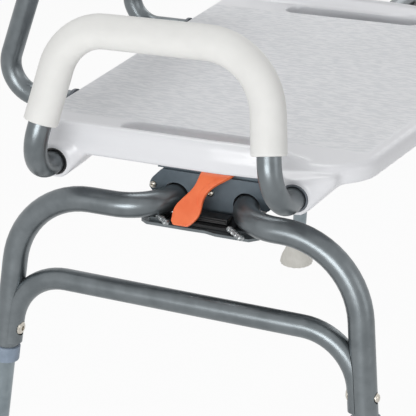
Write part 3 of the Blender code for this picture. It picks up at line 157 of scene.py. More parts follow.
def two_tone(tree, shader, fac, dark, light, low=0.35, high=0.65):
    ramp = node(tree, "ValToRGB", None, {"Fac": fac})
    ramp.color_ramp.elements[0].position = low
    ramp.color_ramp.elements[0].color = colour(dark)
    ramp.color_ramp.elements[1].position = high
    ramp.color_ramp.elements[1].color = colour(light)
    tree.links.new(ramp.outputs[0], shader.inputs["Base Color"])
    return ramp


def vary_roughness(tree, shader, fac, low, high):
    spread = node(tree, "MapRange", None, {"Value": fac, "To Min": low, "To Max": high})
    tree.links.new(spread.outputs[0], shader.inputs["Roughness"])


def emboss(tree, shader, height, depth, strength=1.0):
    bump = node(tree, "Bump", None, {"Height": height, "Distance": depth, "Strength": strength})
    tree.links.new(bump.outputs[0], shader.inputs["Normal"])
    return bump


def graphite_anodised_tube(name, dark, light):
    # Drawn aluminium tube, bead blasted and anodised: a metal sheen, soft and broad
    finish, tree, shader, place = start_finish(name, Metallic=0.88)
    cloud = speckle(tree, place, 60.0)
    two_tone(tree, shader, cloud, dark, light)
    blast = speckle(tree, place, 2600.0, 1.0)
    vary_roughness(tree, shader, cloud, 0.31, 0.36)
    emboss(tree, shader, blast, 0.00004, 0.35)
    return finish


def slate_powder_coat():
    # Powder coat on pressed steel: a low orange peel a millimetre or two across
    finish, tree, shader, place = start_finish("slate_powder_coat", Metallic=0.25)
    peel = speckle(tree, place, 700.0, 1.0)
    two_tone(tree, shader, speckle(tree, place, 45.0), "#5A656D", "#66727A")
    vary_roughness(tree, shader, peel, 0.36, 0.46)
    emboss(tree, shader, peel, 0.0001, 0.25)
    return finish


def moulded_plastic(name, dark, light, rough, grain=1400.0, depth=0.00005):
    # Injection moulded nylon or acetal with a fine spark-eroded grain, near half a millimetre
    finish, tree, shader, place = start_finish(name, IOR=1.5)
    two_tone(tree, shader, speckle(tree, place, 90.0), dark, light)
    erosion = speckle(tree, place, grain, 2.0)
    vary_roughness(tree, shader, erosion, rough - 0.05, rough + 0.06)
    emboss(tree, shader, erosion, depth, 0.5)
    return finish


def blow_moulded_seat():
    # Blow moulded polyethylene: a smooth glossy rim, and a sitting face with a pressed grain of
    # short shallow wrinkles about 3 mm by 14 mm that lie across the rails; the wrinkles' hollows are
    # painted darker and their crests lighter, painted shade that follows the bump
    finish, tree, shader, place = start_finish("blow_moulded_polyethylene", IOR=1.51)
    mask = node(tree, "Attribute", {"attribute_name": "grain"}).outputs["Fac"]
    wrinkle = node(tree, "Mapping", None, {"Vector": place, "Scale": (1.0, 4.2, 1.0)})
    broad = node(tree, "TexNoise", None, {
        "Vector": wrinkle.outputs[0], "Scale": 72.0, "Detail": 1.0, "Distortion": 0.7,
    })
    fine = node(tree, "TexNoise", None, {
        "Vector": wrinkle.outputs[0], "Scale": 190.0, "Detail": 3.0, "Distortion": 0.4,
    })
    both = node(tree, "Mix", None, {0: 0.22, 2: broad.outputs["Fac"], 3: fine.outputs["Fac"]})
    height = node(tree, "Math", {"operation": "MULTIPLY"}, {0: both.outputs[0], 1: mask})
    # painted shade: the noise that makes the bump also darkens the wrinkles' hollows and lightens their
    # crests
    wrinkle_shade = node(tree, "ValToRGB", None, {"Fac": both.outputs[0]})
    wrinkle_shade.color_ramp.elements[0].position = 0.43
    wrinkle_shade.color_ramp.elements[0].color = colour("#DEE0E3")
    wrinkle_shade.color_ramp.elements[1].position = 0.57
    wrinkle_shade.color_ramp.elements[1].color = colour("#ECEDEF")
    tone = node(tree, "Mix", {"data_type": "RGBA"}, {0: mask, 6: colour("#E6E7EA"), 7: wrinkle_shade.outputs[0]})
    tree.links.new(tone.outputs[2], shader.inputs["Base Color"])
    rough = node(tree, "MapRange", None, {"Value": mask, "To Min": 0.28, "To Max": 0.52})
    tree.links.new(rough.outputs[0], shader.inputs["Roughness"])
    emboss(tree, shader, height.outputs[0], 0.0018, 0.6)
    return finish


def closed_cell_foam():
    # Skinned closed-cell foam sleeve: matt, with pores near a third of a millimetre
    finish, tree, shader, place = start_finish("closed_cell_foam", IOR=1.45)
    two_tone(tree, shader, speckle(tree, place, 40.0), "#E9E9E6", "#EDEDEA")
    pores = speckle(tree, place, 1900.0, 2.0)
    vary_roughness(tree, shader, pores, 0.55, 0.68)
    emboss(tree, shader, pores, 0.00008, 0.4)
    return finish


def foot_rubber():
    # Moulded thermoplastic rubber, cream, a little dusty and uneven
    finish, tree, shader, place = start_finish("cream_foot_rubber", IOR=1.5)
    two_tone(tree, shader, speckle(tree, place, 110.0, 3.0), "#E2E0D8", "#EAE8E1")
    skin = speckle(tree, place, 1300.0, 2.0)
    vary_roughness(tree, shader, skin, 0.62, 0.78)
    emboss(tree, shader, skin, 0.00008, 0.5)
    return finish


def plated_steel():
    # Bright zinc plate over turned steel, with faint turning lines
    finish, tree, shader, place = start_finish("zinc_plated_steel", Metallic=1.0)
    two_tone(tree, shader, speckle(tree, place, 300.0), "#B9B3A8", "#CFCAC0")
    lines = speckle(tree, place, 900.0, 1.0, (1, 1, 5))
    vary_roughness(tree, shader, lines, 0.22, 0.36)
    emboss(tree, shader, lines, 0.00003, 0.3)
    return finish


def weld_metal():
    # Raw weld bead under clear anodising: bright ripples, rougher than the tube
    finish, tree, shader, place = start_finish("weld_metal", Metallic=0.9)
    two_tone(tree, shader, speckle(tree, place, 420.0), "#7F8486", "#BDC0C1")
    vary_roughness(tree, shader, speckle(tree, place, 800.0), 0.22, 0.45)
    emboss(tree, shader, speckle(tree, place, 650.0), 0.0004, 0.6)
    return finish


def lever_nylon():
    # Orange glass-filled nylon, satin, with a light pressed grain
    finish, tree, shader, place = start_finish("orange_nylon", IOR=1.53)
    two_tone(tree, shader, speckle(tree, place, 70.0), "#F0703F", "#F87D4B")
    grain = speckle(tree, place, 1500.0)
    vary_roughness(tree, shader, grain, 0.38, 0.5)
    emboss(tree, shader, grain, 0.00006, 0.5)
    return finish


TUBE = graphite_anodised_tube("graphite_anodised_tube", "#6B7174", "#767C7F")
EXTENSION = graphite_anodised_tube("natural_anodised_extension", "#7E888D", "#8B959A")
SLATE = slate_powder_coat()
BLACK = moulded_plastic("black_nylon", "#151617", "#1F2022", 0.42)
COLLAR = moulded_plastic("blue_grey_polypropylene", "#818F9F", "#8C9AAB", 0.5)
BUSH_GREY = moulded_plastic("grey_acetal", "#646A71", "#70767D", 0.42)
SEAT = blow_moulded_seat()
FOAM = closed_cell_foam()
RUBBER = foot_rubber()
ZINC = plated_steel()
WELD = weld_metal()
ORANGE = lever_nylon()


# Shaping

def finished(name, shape, finish, body, stands_for=(), sharp=40, recalculate=True):
    """Make a mesh the piece that stands for its node, smooth shaded, riding on its body."""
    bmesh.ops.remove_doubles(shape, verts=shape.verts, dist=1e-6)
    if recalculate:
        bmesh.ops.recalc_face_normals(shape, faces=shape.faces)
    mesh = bpy.data.meshes.new(name)
    shape.to_mesh(mesh)
    shape.free()
    mesh.shade_smooth()
    mesh.set_sharp_from_angle(angle=math.radians(sharp))
    piece = bpy.data.objects.new(name, mesh)
    bpy.context.scene.collection.objects.link(piece)
    if finish:
        mesh.materials.append(finish)
        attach(piece, body)
    if stands_for:
        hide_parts(*stands_for)
    return piece


def rounded(piece, width, segments=3, angle=30):
    edge = piece.modifiers.new("soft_edges", "BEVEL")
    edge.width = width
    edge.segments = segments
    edge.limit_method = "ANGLE"
    edge.angle_limit = math.radians(angle)
    return piece


def carve(piece, tools, operation="DIFFERENCE"):
    """Apply Booleans with shapes that are thrown away afterwards."""
    for tool in tools:
        step = piece.modifiers.new("carve", "BOOLEAN")
        step.operation = operation
        step.solver = "EXACT"
        step.object = tool
    settle(piece)
    for tool in tools:
        bpy.data.objects.remove(tool, do_unlink=True)
    return piece


def smooth_shaded(piece, sharp):
    piece.data.shade_smooth()
    piece.data.set_sharp_from_angle(angle=math.radians(sharp))
    return piece


def settle(piece):
    """Apply a piece's modifiers to its mesh."""
    bpy.context.view_layer.update()
    graph = bpy.context.evaluated_depsgraph_get()
    mesh = bpy.data.meshes.new_from_object(piece.evaluated_get(graph))
    piece.modifiers.clear()
    piece.data = mesh
    return piece


def axis_turn(axis, guide):
    """The turn that takes Z to an axis and X as near as it can to a guide."""
    axis = Vector(axis).normalized()
    guide = Vector(guide)
    across = (guide - axis * guide.dot(axis)).normalized()
    return Matrix((across, axis.cross(across), axis)).transposed().to_4x4()


def spun_shape(start, axis, profile, steps=64, guide=Y_AXIS + X_AXIS * 0.01, closed=False):
    """Spin a profile of (radius, distance) points about an axis."""
    shape = bmesh.new()
    points = [shape.verts.new((radius, 0.0, distance)) for radius, distance in profile]
    edges = [shape.edges.new(pair) for pair in zip(points, points[1:])]
    if closed:
        edges.append(shape.edges.new((points[-1], points[0])))
    bmesh.ops.spin(
        shape, geom=points + edges, cent=(0, 0, 0), axis=(0, 0, 1), dvec=(0, 0, 0),
        angle=2 * math.pi, steps=steps, use_merge=True, use_normal_flip=False, use_duplicate=False,
    )
    bmesh.ops.remove_doubles(shape, verts=shape.verts, dist=1e-6)
    place = Matrix.Translation(start) @ axis_turn(axis, guide)
    bmesh.ops.transform(shape, matrix=place, verts=shape.verts)
    return shape


def soften(shape, geometry, offset, segments, affect="EDGES"):
    """Round edges or corners of a shape while it is still being made."""
    bmesh.ops.bevel(
        shape, geom=geometry, offset=offset, affect=affect, segments=segments, profile=0.5, material=-1
    )


def push_straight(shape, edges, travel):
    """Extrude an open loop of edges along a vector; returns the new loop."""
    if travel.length < 1e-6:
        return edges
    made = bmesh.ops.extrude_edge_only(shape, edges=edges)["geom"]
    moved = [g for g in made if isinstance(g, bmesh.types.BMVert)]
    bmesh.ops.translate(shape, verts=moved, vec=travel)
    return [g for g in made if isinstance(g, bmesh.types.BMEdge) and all(v in moved for v in g.verts)]


def push_round(shape, edges, centre, axis, turn, step):
    """Spin an open loop of edges about a bend's axis; returns the new loop."""
    geometry = edges + list({v for e in edges for v in e.verts})
    made = bmesh.ops.spin(
        shape, geom=geometry, cent=centre, axis=axis, dvec=(0, 0, 0), angle=turn,
        steps=max(2, round(turn / step)), use_duplicate=False,
    )["geom_last"]
    return [g for g in made if isinstance(g, bmesh.types.BMEdge)]


def plug_end(shape, edges, wall, depth, outward):
    """Close a tube's mouth with a wall's rim and a floor a little way in."""
    lid = bmesh.ops.contextual_create(shape, geom=edges)["faces"][0]
    if not wall:
        return
    bmesh.ops.inset_individual(shape, faces=[lid], thickness=wall, use_even_offset=True)
    floor = bmesh.ops.extrude_discrete_faces(shape, faces=[lid])["faces"][0]
    bmesh.ops.translate(shape, verts=floor.verts, vec=-outward * depth)


def bent_tube(corners, bends, radius, sides=40, wall=0.0015, depth=0.012, step=math.radians(6)):
    """Bend a tube round its corners, as a mandrel bender does: straight, arc, straight."""
    corners = [Vector(corner) for corner in corners]
    shape = bmesh.new()
    run = (corners[1] - corners[0]).normalized()
    bmesh.ops.create_circle(shape, cap_ends=False, radius=radius, segments=sides)
    place = Matrix.Translation(corners[0]) @ axis_turn(run, Z_AXIS + X_AXIS * 0.013)
    bmesh.ops.transform(shape, matrix=place, verts=shape.verts)
    first = list(shape.edges)
    edges = first
    here = corners[0]
    for corner, after, bend in zip(corners[1:], corners[2:], bends):
        onward = (after - corner).normalized()
        turn = run.angle(onward)
        reach = bend * math.tan(turn / 2)
        edges = push_straight(shape, edges, corner - run * reach - here)
        axis = run.cross(onward).normalized()
        here = corner - run * reach
        edges = push_round(shape, edges, here + axis.cross(run) * bend, axis, turn, step)
        run, here = onward, corner + onward * reach
    edges = push_straight(shape, edges, corners[-1] - here)
    plug_end(shape, first, wall, depth, (corners[0] - corners[1]).normalized())
    plug_end(shape, edges, wall, depth, run)
    return shape


def flat_panel(points, thickness, turn=None, corner_bends=None):
    """A flat polygon with rounded corners, pushed to a thickness; lies in XY, grows up Z."""
    shape = bmesh.new()
    corners = [shape.verts.new((x, y, 0.0)) for x, y in points]
    shape.faces.new(corners)
    for corner, bend in zip(corners, corner_bends or []):
        if bend:
            soften(shape, [corner], bend, 8, "VERTICES")
    made = bmesh.ops.extrude_face_region(shape, geom=list(shape.faces))["geom"]
    moved = [g for g in made if isinstance(g, bmesh.types.BMVert)]
    bmesh.ops.translate(shape, verts=moved, vec=(0, 0, thickness))
    if turn:
        bmesh.ops.transform(shape, matrix=turn, verts=shape.verts)
    return shape


def rod_tool(start, axis, radius, length, steps=48):
    shape = spun_shape(Vector(start), axis, [(0, 0), (radius, 0), (radius, length), (0, length)], steps)
    return finished("tool", shape, None, None)


def domed_head(base, axis, radius, height, socket, across_flats, guide=Z_AXIS):
    """A button head with a round socket spun into it, and a short shank behind it."""
    shape = spun_shape(base, axis, [
        (0, -0.004), (radius * 0.4, -0.004), (radius * 0.4, 0), (radius * 0.97, 0), (radius, height * 0.18),
        (radius * 0.93, height * 0.5), (radius * 0.76, height * 0.8), (radius * 0.52, height * 0.96),
        (across_flats * 0.62, height), (across_flats * 0.5, height - socket * 0.1),
        (across_flats * 0.45, height - socket), (0, height - socket * 1.1),
    ], 24, guide)
    return shape


# Frame

def leg_slope(side, end):
    return Vector((side * SPLAY_ACROSS, end * SPLAY_ALONG, -1.0))


def leg_axis(side, end):
    return leg_slope(side, end).normalized()


def leg_point(side, end, depth):
    corner = Vector((side * LEG_SPREAD / 2, end * FRAME_LENGTH / 2, RAIL_HEIGHT))
    return corner + leg_slope(side, end) * depth


def leg_outward(side, end):
    axis = leg_axis(side, end)
    return (X_AXIS * side - axis * axis.x * side).normalized()


def side_tubes():
    half = FRAME_LENGTH / 2
    for side_name, side in SIDES.items():
        rail = RAIL_OFFSET + side * RAIL_SPACING / 2
        corners = [
            leg_point(side, -1, LEG_END_DEPTH), leg_point(side, -1, 0.0),
            (rail, -half, RAIL_HEIGHT), (rail, half, RAIL_HEIGHT),
            leg_point(side, 1, 0.0), leg_point(side, 1, LEG_END_DEPTH),
        ]
        bends = [SHOULDER_BEND, RAIL_BEND, RAIL_BEND, SHOULDER_BEND]
        shape = bent_tube(corners, bends, TUBE_RADIUS, 48, TUBE_WALL, LEG_BORE_DEPTH)
        tube = finished(
            f"side_tube_{side_name}_drawn", shape, TUBE, "frame", [f"side_tube_{side_name}"]
        )
        wells = []
        for end in ENDS.values():
            mouth = leg_point(side, end, BUTTON_DEPTH) + leg_outward(side, end) * (TUBE_RADIUS - 0.0016)
            wells.append(rod_tool(mouth, leg_outward(side, end), 0.0058, 0.006, 32))
        carve(tube, wells)
        smooth_shaded(tube, 40)


def crossbars():
    """Bars between the legs: coped over each leg, with a screw's head sunk in a spot face."""
    for end_name, end in ENDS.items():
        def beside_leg(side_name, depth):
            side = SIDES[side_name]
            return leg_point(side, end, depth) - leg_outward(side, end) * CROSSBAR_INSET

        corners = [
            beside_leg("rear", CROSSBAR_END_DEPTH), beside_leg("rear", CROSSBAR_DEPTHS["rear"]),
            beside_leg("front", CROSSBAR_DEPTHS["front"]), beside_leg("front", CROSSBAR_END_DEPTH),
        ]
        shape = bent_tube(corners, [CROSSBAR_BEND] * 2, SLIM_TUBE_RADIUS, 48, 0)
        bar = finished(
            f"crossbar_{end_name}_pressed", shape, TUBE, "frame", [f"crossbar_{end_name}"]
        )
        cuts = []
        screw_seat = CROSSBAR_INSET + SLIM_TUBE_RADIUS - SCREW_HEAD_SINK
        for side_name, side in SIDES.items():
            inward = -leg_outward(side, end)
            top = leg_point(side, end, CROSSBAR_DEPTHS[side_name] - 2 * SLIM_TUBE_RADIUS)
            cuts.append(rod_tool(top, leg_axis(side, end), TUBE_RADIUS + GAP, 0.130))
            face = leg_point(side, end, CROSSBAR_SCREW_DEPTH) + inward * screw_seat
            cuts.append(rod_tool(face, inward, SCREW_HEAD_RADIUS + 0.0004, 0.006))
            head = domed_head(
                face + inward * GAP, inward, SCREW_HEAD_RADIUS, SCREW_HEAD_HEIGHT, 0.0020, 0.0050
            )
            finished(
                f"crossbar_screw_{end_name}_{side_name}_domed", head, ZINC, "frame",
                [f"crossbar_screw_{end_name}_{side_name}"],
            )
        carve(bar, cuts)
        smooth_shaded(bar, 40)
        rounded(bar, 0.0004, 2)


def weld_beads():
    """Overlapping ripples where each welded plate meets the bends of the side tubes."""
    runs = {"rear": ((-0.0440, 0.0250), (-0.0200, 0.0030)), "front": ((0.0425, 0.0120), (0.0610, -0.0035))}
    for end_name, end in ENDS.items():
        for side_name, (start, stop) in runs.items():
            shape = bmesh.new()
            for i in range(11):
                share = i / 10
                x = start[0] + (stop[0] - start[0]) * share
                y = end * (FRAME_LENGTH / 2 - start[1] - (stop[1] - start[1]) * share)
                swell = 1.0 + 0.12 * math.sin(i * 2.1)
                turn = Matrix.Rotation(-end * math.atan2(stop[0] - start[0], start[1] - stop[1]), 4, "Z")
                place = Matrix.Translation((x, y, RAIL_HEIGHT - TUBE_RADIUS + 0.0002)) @ turn
                place = place @ Matrix.Diagonal((0.0034 * swell, 0.0022, 0.0026 * swell, 1.0))
                bmesh.ops.create_uvsphere(shape, u_segments=16, v_segments=10, radius=1.0, matrix=place)
            finished(f"weld_bead_{end_name}_{side_name}", shape, WELD, "frame")


def legs():
    for end_name, end in ENDS.items():
        for side_name, side in SIDES.items():
            where = f"{end_name}_{side_name}"
            axis = leg_axis(side, end)
            out = leg_outward(side, end)
            body = f"leg_{where}"

            start = leg_point(side, end, LEG_END_DEPTH) + axis * GAP
            ring = spun_shape(start, axis, [
                (0.0114, 0.0), (0.0136, 0.0), (0.0147, 0.0006), (0.0150, 0.0018),
                (0.0150, COLLAR_LENGTH - 0.0017), (0.0146, COLLAR_LENGTH - 0.0005),
                (0.0136, COLLAR_LENGTH), (0.0114, COLLAR_LENGTH),
            ], 56, out, True)
            finished(
                f"leg_collar_{where}_moulded", ring, COLLAR, "frame", [f"leg_collar_{where}"]
            )

            slant = leg_slope(side, end).length
            top = leg_point(side, end, EXTENSION_DEPTH)
            foot = leg_point(side, end, RAIL_HEIGHT)
            shape = bent_tube([top, foot - axis * 0.0123], [], SLIM_TUBE_RADIUS, 48, 0.0014, 0.05)
            tube = finished(
                f"leg_extension_{where}_drawn", shape, EXTENSION, body,
                [f"leg_extension_{where}"],
            )
            holes = []
            for i in range(7):
                level = leg_point(side, end, BUTTON_DEPTH - i * BUTTON_SPACING / slant)
                holes.append(rod_tool(level + out * 0.0090, out, 0.0035, 0.006, 24))
            carve(tube, holes)
            smooth_shaded(tube, 40)

            foot_tip(where, foot, axis, out, body)

            seat = leg_point(side, end, BUTTON_DEPTH) + out * (TUBE_RADIUS - 0.0012)
            dome = spun_shape(seat, out, [
                (0, -0.0028), (0.0031, -0.0028), (0.0031, 0.0), (0.0046, 0.0), (0.0046, 0.0009),
                (0.0042, 0.0020), (0.0032, 0.0030), (0.0017, 0.0036), (0, 0.0038),
            ], 40)
            finished(
                f"leg_button_{where}_domed", dome, ZINC, f"leg_button_{where}",
                [f"leg_button_{where}"],
            )


def foot_tip(where, foot, axis, out, body):
    """A flared tip: ribbed skirt, waist, rolled collar, and a sole trimmed level with the floor."""
    profile = [
        (0.0, 0.016), (0.0267, 0.016), (0.0267, 0.003), (0.0260, -0.0075), (0.0238, -0.0150),
        (0.0205, -0.0230), (0.0178, -0.0320), (0.0163, -0.0410), (0.0160, -0.0455),
        (0.0154, -0.0474), (0.0142, -0.0480), (0.0114, -0.0480), (0.0114, -0.0125), (0.0, -0.0125),
    ]
    shape = spun_shape(foot, axis, profile, 72, out)
    for vertex in shape.verts:
        along = (vertex.co - foot).dot(axis)
        if along > -0.012:
            spoke = vertex.co - foot - axis * along
            if spoke.length > 0.02:
                angle = math.atan2(spoke.dot(axis.cross(out)), spoke.dot(out))
                vertex.co += spoke.normalized() * 0.0006 * math.cos(18 * angle)
    cut = bmesh.ops.bisect_plane(
        shape, geom=list(shape.verts) + list(shape.edges) + list(shape.faces),
        plane_co=(0, 0, 0), plane_no=(0, 0, -1), clear_outer=True,
    )
    rim = [g for g in cut["geom_cut"] if isinstance(g, bmesh.types.BMEdge)]
    bmesh.ops.contextual_create(shape, geom=rim)
    tip = finished(f"foot_tip_{where}_moulded", shape, RUBBER, body, [f"foot_tip_{where}"])
    rounded(tip, 0.0012, 3, 50)


def end_stops():
    """Black blocks between the rails at both ends, with a ledge and a long groove in the outer face."""
    for end_name, end in ENDS.items():
        shape = bmesh.new()
        low, high = Vector((-0.0142, 0.3990, 0.4866)), Vector((0.0374, 0.4125, 0.4920))
        place = Matrix.Translation((low + high) / 2) @ Matrix.Diagonal((*(high - low), 1.0))
        bmesh.ops.create_cube(shape, size=1.0, matrix=place)
        outer = max(shape.faces, key=lambda f: f.normal.y)
        bmesh.ops.inset_region(shape, faces=[outer], thickness=0.0012, depth=0.0, use_even_offset=True)
        bmesh.ops.inset_region(shape, faces=[outer], thickness=0.0005, depth=-0.0010, use_even_offset=True)
        bmesh.ops.scale(shape, vec=(1, end, 1), verts=shape.verts)
        stop = finished(f"rail_stop_{end_name}", shape, BLACK, "frame")
        rounded(stop, 0.0006, 3)


# Carriage

def saddle_plate(name, face, end, thickness, top, trim, arch, finish, node_name, width):
    """A plate across both rails: chamfered shoulders, and an arch over each rail."""
    half = BRACKET_HALF_WIDTH - trim
    points = [
        (-half + 0.014, top), (-half, top - 0.014), (-half, 0.006), (-half + 0.006, -0.0015),
        (-0.0500, -0.0015), (-0.0500, -0.0125), (0.0500, -0.0125), (0.0500, -0.0015),
        (half - 0.006, -0.0015), (half, 0.006), (half, top - 0.014), (half - 0.014, top),
    ]
    bends = [0.003, 0.006, 0.005, 0.002, 0, 0, 0, 0, 0.002, 0.005, 0.006, 0.003]
    stand = Matrix.Translation((RAIL_OFFSET, face, RAIL_HEIGHT)) @ Matrix.Rotation(math.pi / 2, 4, "X")
    shape = flat_panel(points, end * thickness, stand, bends)
    plate = finished(name, shape, finish, "carriage", [node_name])
    arches = []
    clearance = 0.003
    start = face - clearance - (thickness if end > 0 else 0.0)
    for side in SIDES.values():
        rail = (RAIL_OFFSET + side * RAIL_SPACING / 2, start, RAIL_HEIGHT)
        arches.append(rod_tool(rail, Y_AXIS, arch, thickness + 2 * clearance, 72))
        low = (RAIL_OFFSET + side * (RAIL_SPACING / 2 + 0.006), start, RAIL_HEIGHT - arch - 0.004)
        arches.append(rod_tool(low, Y_AXIS, 0.0075, thickness + 2 * clearance, 24))
    carve(plate, arches)
    smooth_shaded(plate, 35)
    rounded(plate, width, 3, 35)


def carriage():
    for end_name, end in ENDS.items():
        face = CARRIAGE_MIDDLE + end * CARRIAGE_LENGTH / 2
        saddle_plate(
            f"carriage_bracket_{end_name}_pressed", face, end, BRACKET_THICKNESS, BRACKET_TOP, 0.0, 0.0142,
            SLATE, f"carriage_bracket_{end_name}", 0.0006,
        )
        lip = flat_panel(
            [(-0.0520, -0.019), (0.0520, -0.019), (0.0520, -0.0015), (-0.0520, -0.0015)], BRACKET_THICKNESS,
            Matrix.Translation((RAIL_OFFSET, face, RAIL_HEIGHT + BRACKET_TOP - BRACKET_THICKNESS))
            @ Matrix.Diagonal((1, end, 1, 1)),
        )
        finished(f"carriage_lip_{end_name}", lip, SLATE, "carriage")
        inner = face - end * (BRACKET_THICKNESS + GAP)
        saddle_plate(
            f"glide_block_{end_name}_moulded", inner, end, 0.040, 0.0235, GAP, 0.0136, BLACK,
            f"glide_block_{end_name}", 0.0008,
        )
        for place, across in BRACKET_SCREWS.items():
            base = Vector((RAIL_OFFSET + across, face + end * GAP, RAIL_HEIGHT + BRACKET_SCREW_HEIGHT))
            head = domed_head(base, Y_AXIS * end, 0.0036, 0.0024, 0.0014, 0.0026)
            finished(
                f"bracket_screw_{end_name}_{place}_domed", head, ZINC, "carriage",
                [f"bracket_screw_{end_name}_{place}"],
            )


def swivel():
    centre = Vector((RAIL_OFFSET, SEAT_MIDDLE, RAIL_HEIGHT + SWIVEL_LOW))
    ring = [
        (0.0720, 0.0), (0.0995, 0.0), (0.1, 0.0005), (0.1, 0.0050), (0.0995, 0.0055), (0.0955, 0.0055),
        (0.0950, 0.0046), (0.0770, 0.0046), (0.0765, 0.0055), (0.0725, 0.0055), (0.0720, 0.0050),
    ]
    lower = spun_shape(centre + Z_AXIS * 0.0002, Z_AXIS, ring, 96, X_AXIS, True)
    finished("swivel_ring_lower_turned", lower, BLACK, "carriage", ["swivel_ring_lower"])
    flipped = [(radius, 0.0055 - distance) for radius, distance in ring]
    upper = spun_shape(centre + Z_AXIS * 0.0060, Z_AXIS, flipped, 96, X_AXIS, True)
    finished("swivel_ring_upper_turned", upper, BUSH_GREY, "seat", ["swivel_ring_upper"])
    disc = [
        (0.0100, 0.0), (0.0400, 0.0), (0.0420, 0.0010), (0.0600, 0.0010), (0.0620, 0.0), (0.1265, 0.0),
        (0.1280, 0.0012), (0.1280, 0.0024), (0.1265, 0.0030), (0.0100, 0.0030),
    ]
    shape = spun_shape(centre + Z_AXIS * 0.0118, Z_AXIS, disc, 96, X_AXIS, True)
    finished("swivel_plate_pressed", shape, SLATE, "seat", ["swivel_plate"])
    for i in range(4):
        angle = math.radians(45 + 90 * i)
        place = centre + Vector((math.cos(angle), math.sin(angle), 0)) * 0.114 + Z_AXIS * 0.0118
        head = domed_head(place, -Z_AXIS, 0.005, 0.0024, 0.0014, 0.003, X_AXIS)
        finished(f"seat_stud_head_{i}", head, ZINC, "seat")


LEVER_BLADE = [
    # in from the end plane, above the rails, left edge, right edge
    (-0.0012, -0.0114, -0.0108, 0.0040), (0.0008, -0.0084, -0.0134, 0.0082),
    (0.0045, -0.0025, -0.0136, 0.0140), (0.0085, 0.0035, -0.0130, 0.0152),
    (0.0120, 0.0090, -0.0085, 0.0150), (0.0150, 0.0138, -0.0038, 0.0156),
    (0.0185, 0.0192, 0.0012, 0.0180), (0.0220, 0.0246, 0.0042, 0.0236),
    (0.0255, 0.0300, 0.0056, 0.0325), (0.0285, 0.03285, 0.006, 0.037),
    (0.0330, LEVER_TOP, 0.006, 0.039), (0.0600, LEVER_TOP, 0.006, 0.039), (0.1060, LEVER_TOP, 0.006, 0.039),
]
LEVER_BAND = [
    (0.0105, 0.0067, 0.0112, 0.0150), (0.0128, 0.0103, 0.0096, 0.0150), (0.0150, 0.0138, 0.0092, 0.0154),
    (0.0185, 0.0192, 0.0106, 0.0177), (0.0220, 0.0246, 0.0152, 0.0233), (0.0255, 0.0300, 0.0236, 0.0322),
    (0.0275, 0.0320, 0.0290, 0.0358),
]


def ribbon(name, stations, wall, lift, edge, stands_for=()):
    """A bent strip of plastic: its middle line widened to both edges, then given a wall."""
    shape = bmesh.new()
    middle = []
    for i, (inward, up, left, right) in enumerate(stations):
        ahead, behind = stations[min(i + 1, len(stations) - 1)], stations[max(i - 1, 0)]
        out = Vector((0, behind[1] - ahead[1], ahead[0] - behind[0])).normalized() * lift
        place = Vector(((left + right) / 2, NEAR_PLANE + inward, RAIL_HEIGHT + up))
        middle.append(shape.verts.new(place + out))
    spine = [shape.edges.new(pair) for pair in zip(middle, middle[1:])]
    for sign in (-1, 1):
        made = bmesh.ops.extrude_edge_only(shape, edges=spine)["geom"]
        points = sorted((g for g in made if isinstance(g, bmesh.types.BMVert)), key=lambda v: v.co.y)
        for vertex, (_, _, left, right) in zip(points, stations):
            vertex.co.x += sign * (right - left) / 2
    bmesh.ops.remove_doubles(shape, verts=shape.verts, dist=1e-6)
    bmesh.ops.recalc_face_normals(shape, faces=shape.faces)
    strip = finished(name, shape, ORANGE, "release_lever", stands_for, 60)
    skin = strip.modifiers.new("wall", "SOLIDIFY")
    skin.thickness = wall
    skin.offset = 0.0
    settle(strip)
    rounded(strip, edge, 2, 50)
    settle(strip)
    return strip


def release_lever():
    """An orange blade: a tongue to the hinge, a waist, and a pull tab with a side band."""
    blade = ribbon("release_lever_moulded", LEVER_BLADE, 0.0035, 0.0, 0.0008, ["release_lever"])
    crease = blade.data.attributes.new("crease_edge", "FLOAT", "EDGE")
    low = RAIL_HEIGHT - 0.0070
    points = blade.data.vertices
    crease.data.foreach_set("value", [
        0.75 if all(points[i].co.z < low for i in e.vertices) else 0.0 for e in blade.data.edges
    ])
    smooth = blade.modifiers.new("smooth", "SUBSURF")
    smooth.levels = 2
    smooth.render_levels = 2
    settle(blade)
    carve(blade, [rod_tool((0.0165, NEAR_PLANE + 0.066, RAIL_HEIGHT + 0.028), Z_AXIS, 0.0048, 0.012, 40)])
    smooth_shaded(blade, 50)
    band = ribbon("release_lever_band", LEVER_BAND, 0.0024, 0.0014, 0.0007)
    swell = band.modifiers.new("smooth", "SUBSURF")
    swell.levels = 2
    swell.render_levels = 2
    eye = spun_shape(
        Vector((0.006, NEAR_PLANE + 0.104, RAIL_HEIGHT + LEVER_TOP)), X_AXIS,
        [(0.0020, 0.0), (0.0031, 0.0), (0.0031, 0.033), (0.0020, 0.033)], 32, Z_AXIS, True,
    )
    finished("release_lever_eye", eye, ORANGE, "release_lever")


# Seat

SEAT_HALF = SEAT_LENGTH / 2
SEAT_CORNERS = [
    # across, along from the seat's middle, length cut off each side of the corner
    (SEAT_REAR, -SEAT_HALF, 0.035), (0.060, -SEAT_HALF, 0.034), (0.1765, 0.020 - SEAT_HALF, 0.034),
    (0.2115, 0.0, 0.110),
    (0.1765, SEAT_HALF - 0.020, 0.034), (0.060, SEAT_HALF, 0.034), (SEAT_REAR, SEAT_HALF, 0.035),
]


def seat_outline_shape():
    """The seat's top face, with its corners rounded."""
    shape = bmesh.new()
    corners = [shape.verts.new((x, SEAT_MIDDLE + y, RAIL_HEIGHT + SEAT_TOP)) for x, y, _ in SEAT_CORNERS]
    shape.faces.new(corners)
    for corner, (_, _, cut) in zip(corners, SEAT_CORNERS):
        soften(shape, [corner], cut, 14, "VERTICES")
    return shape


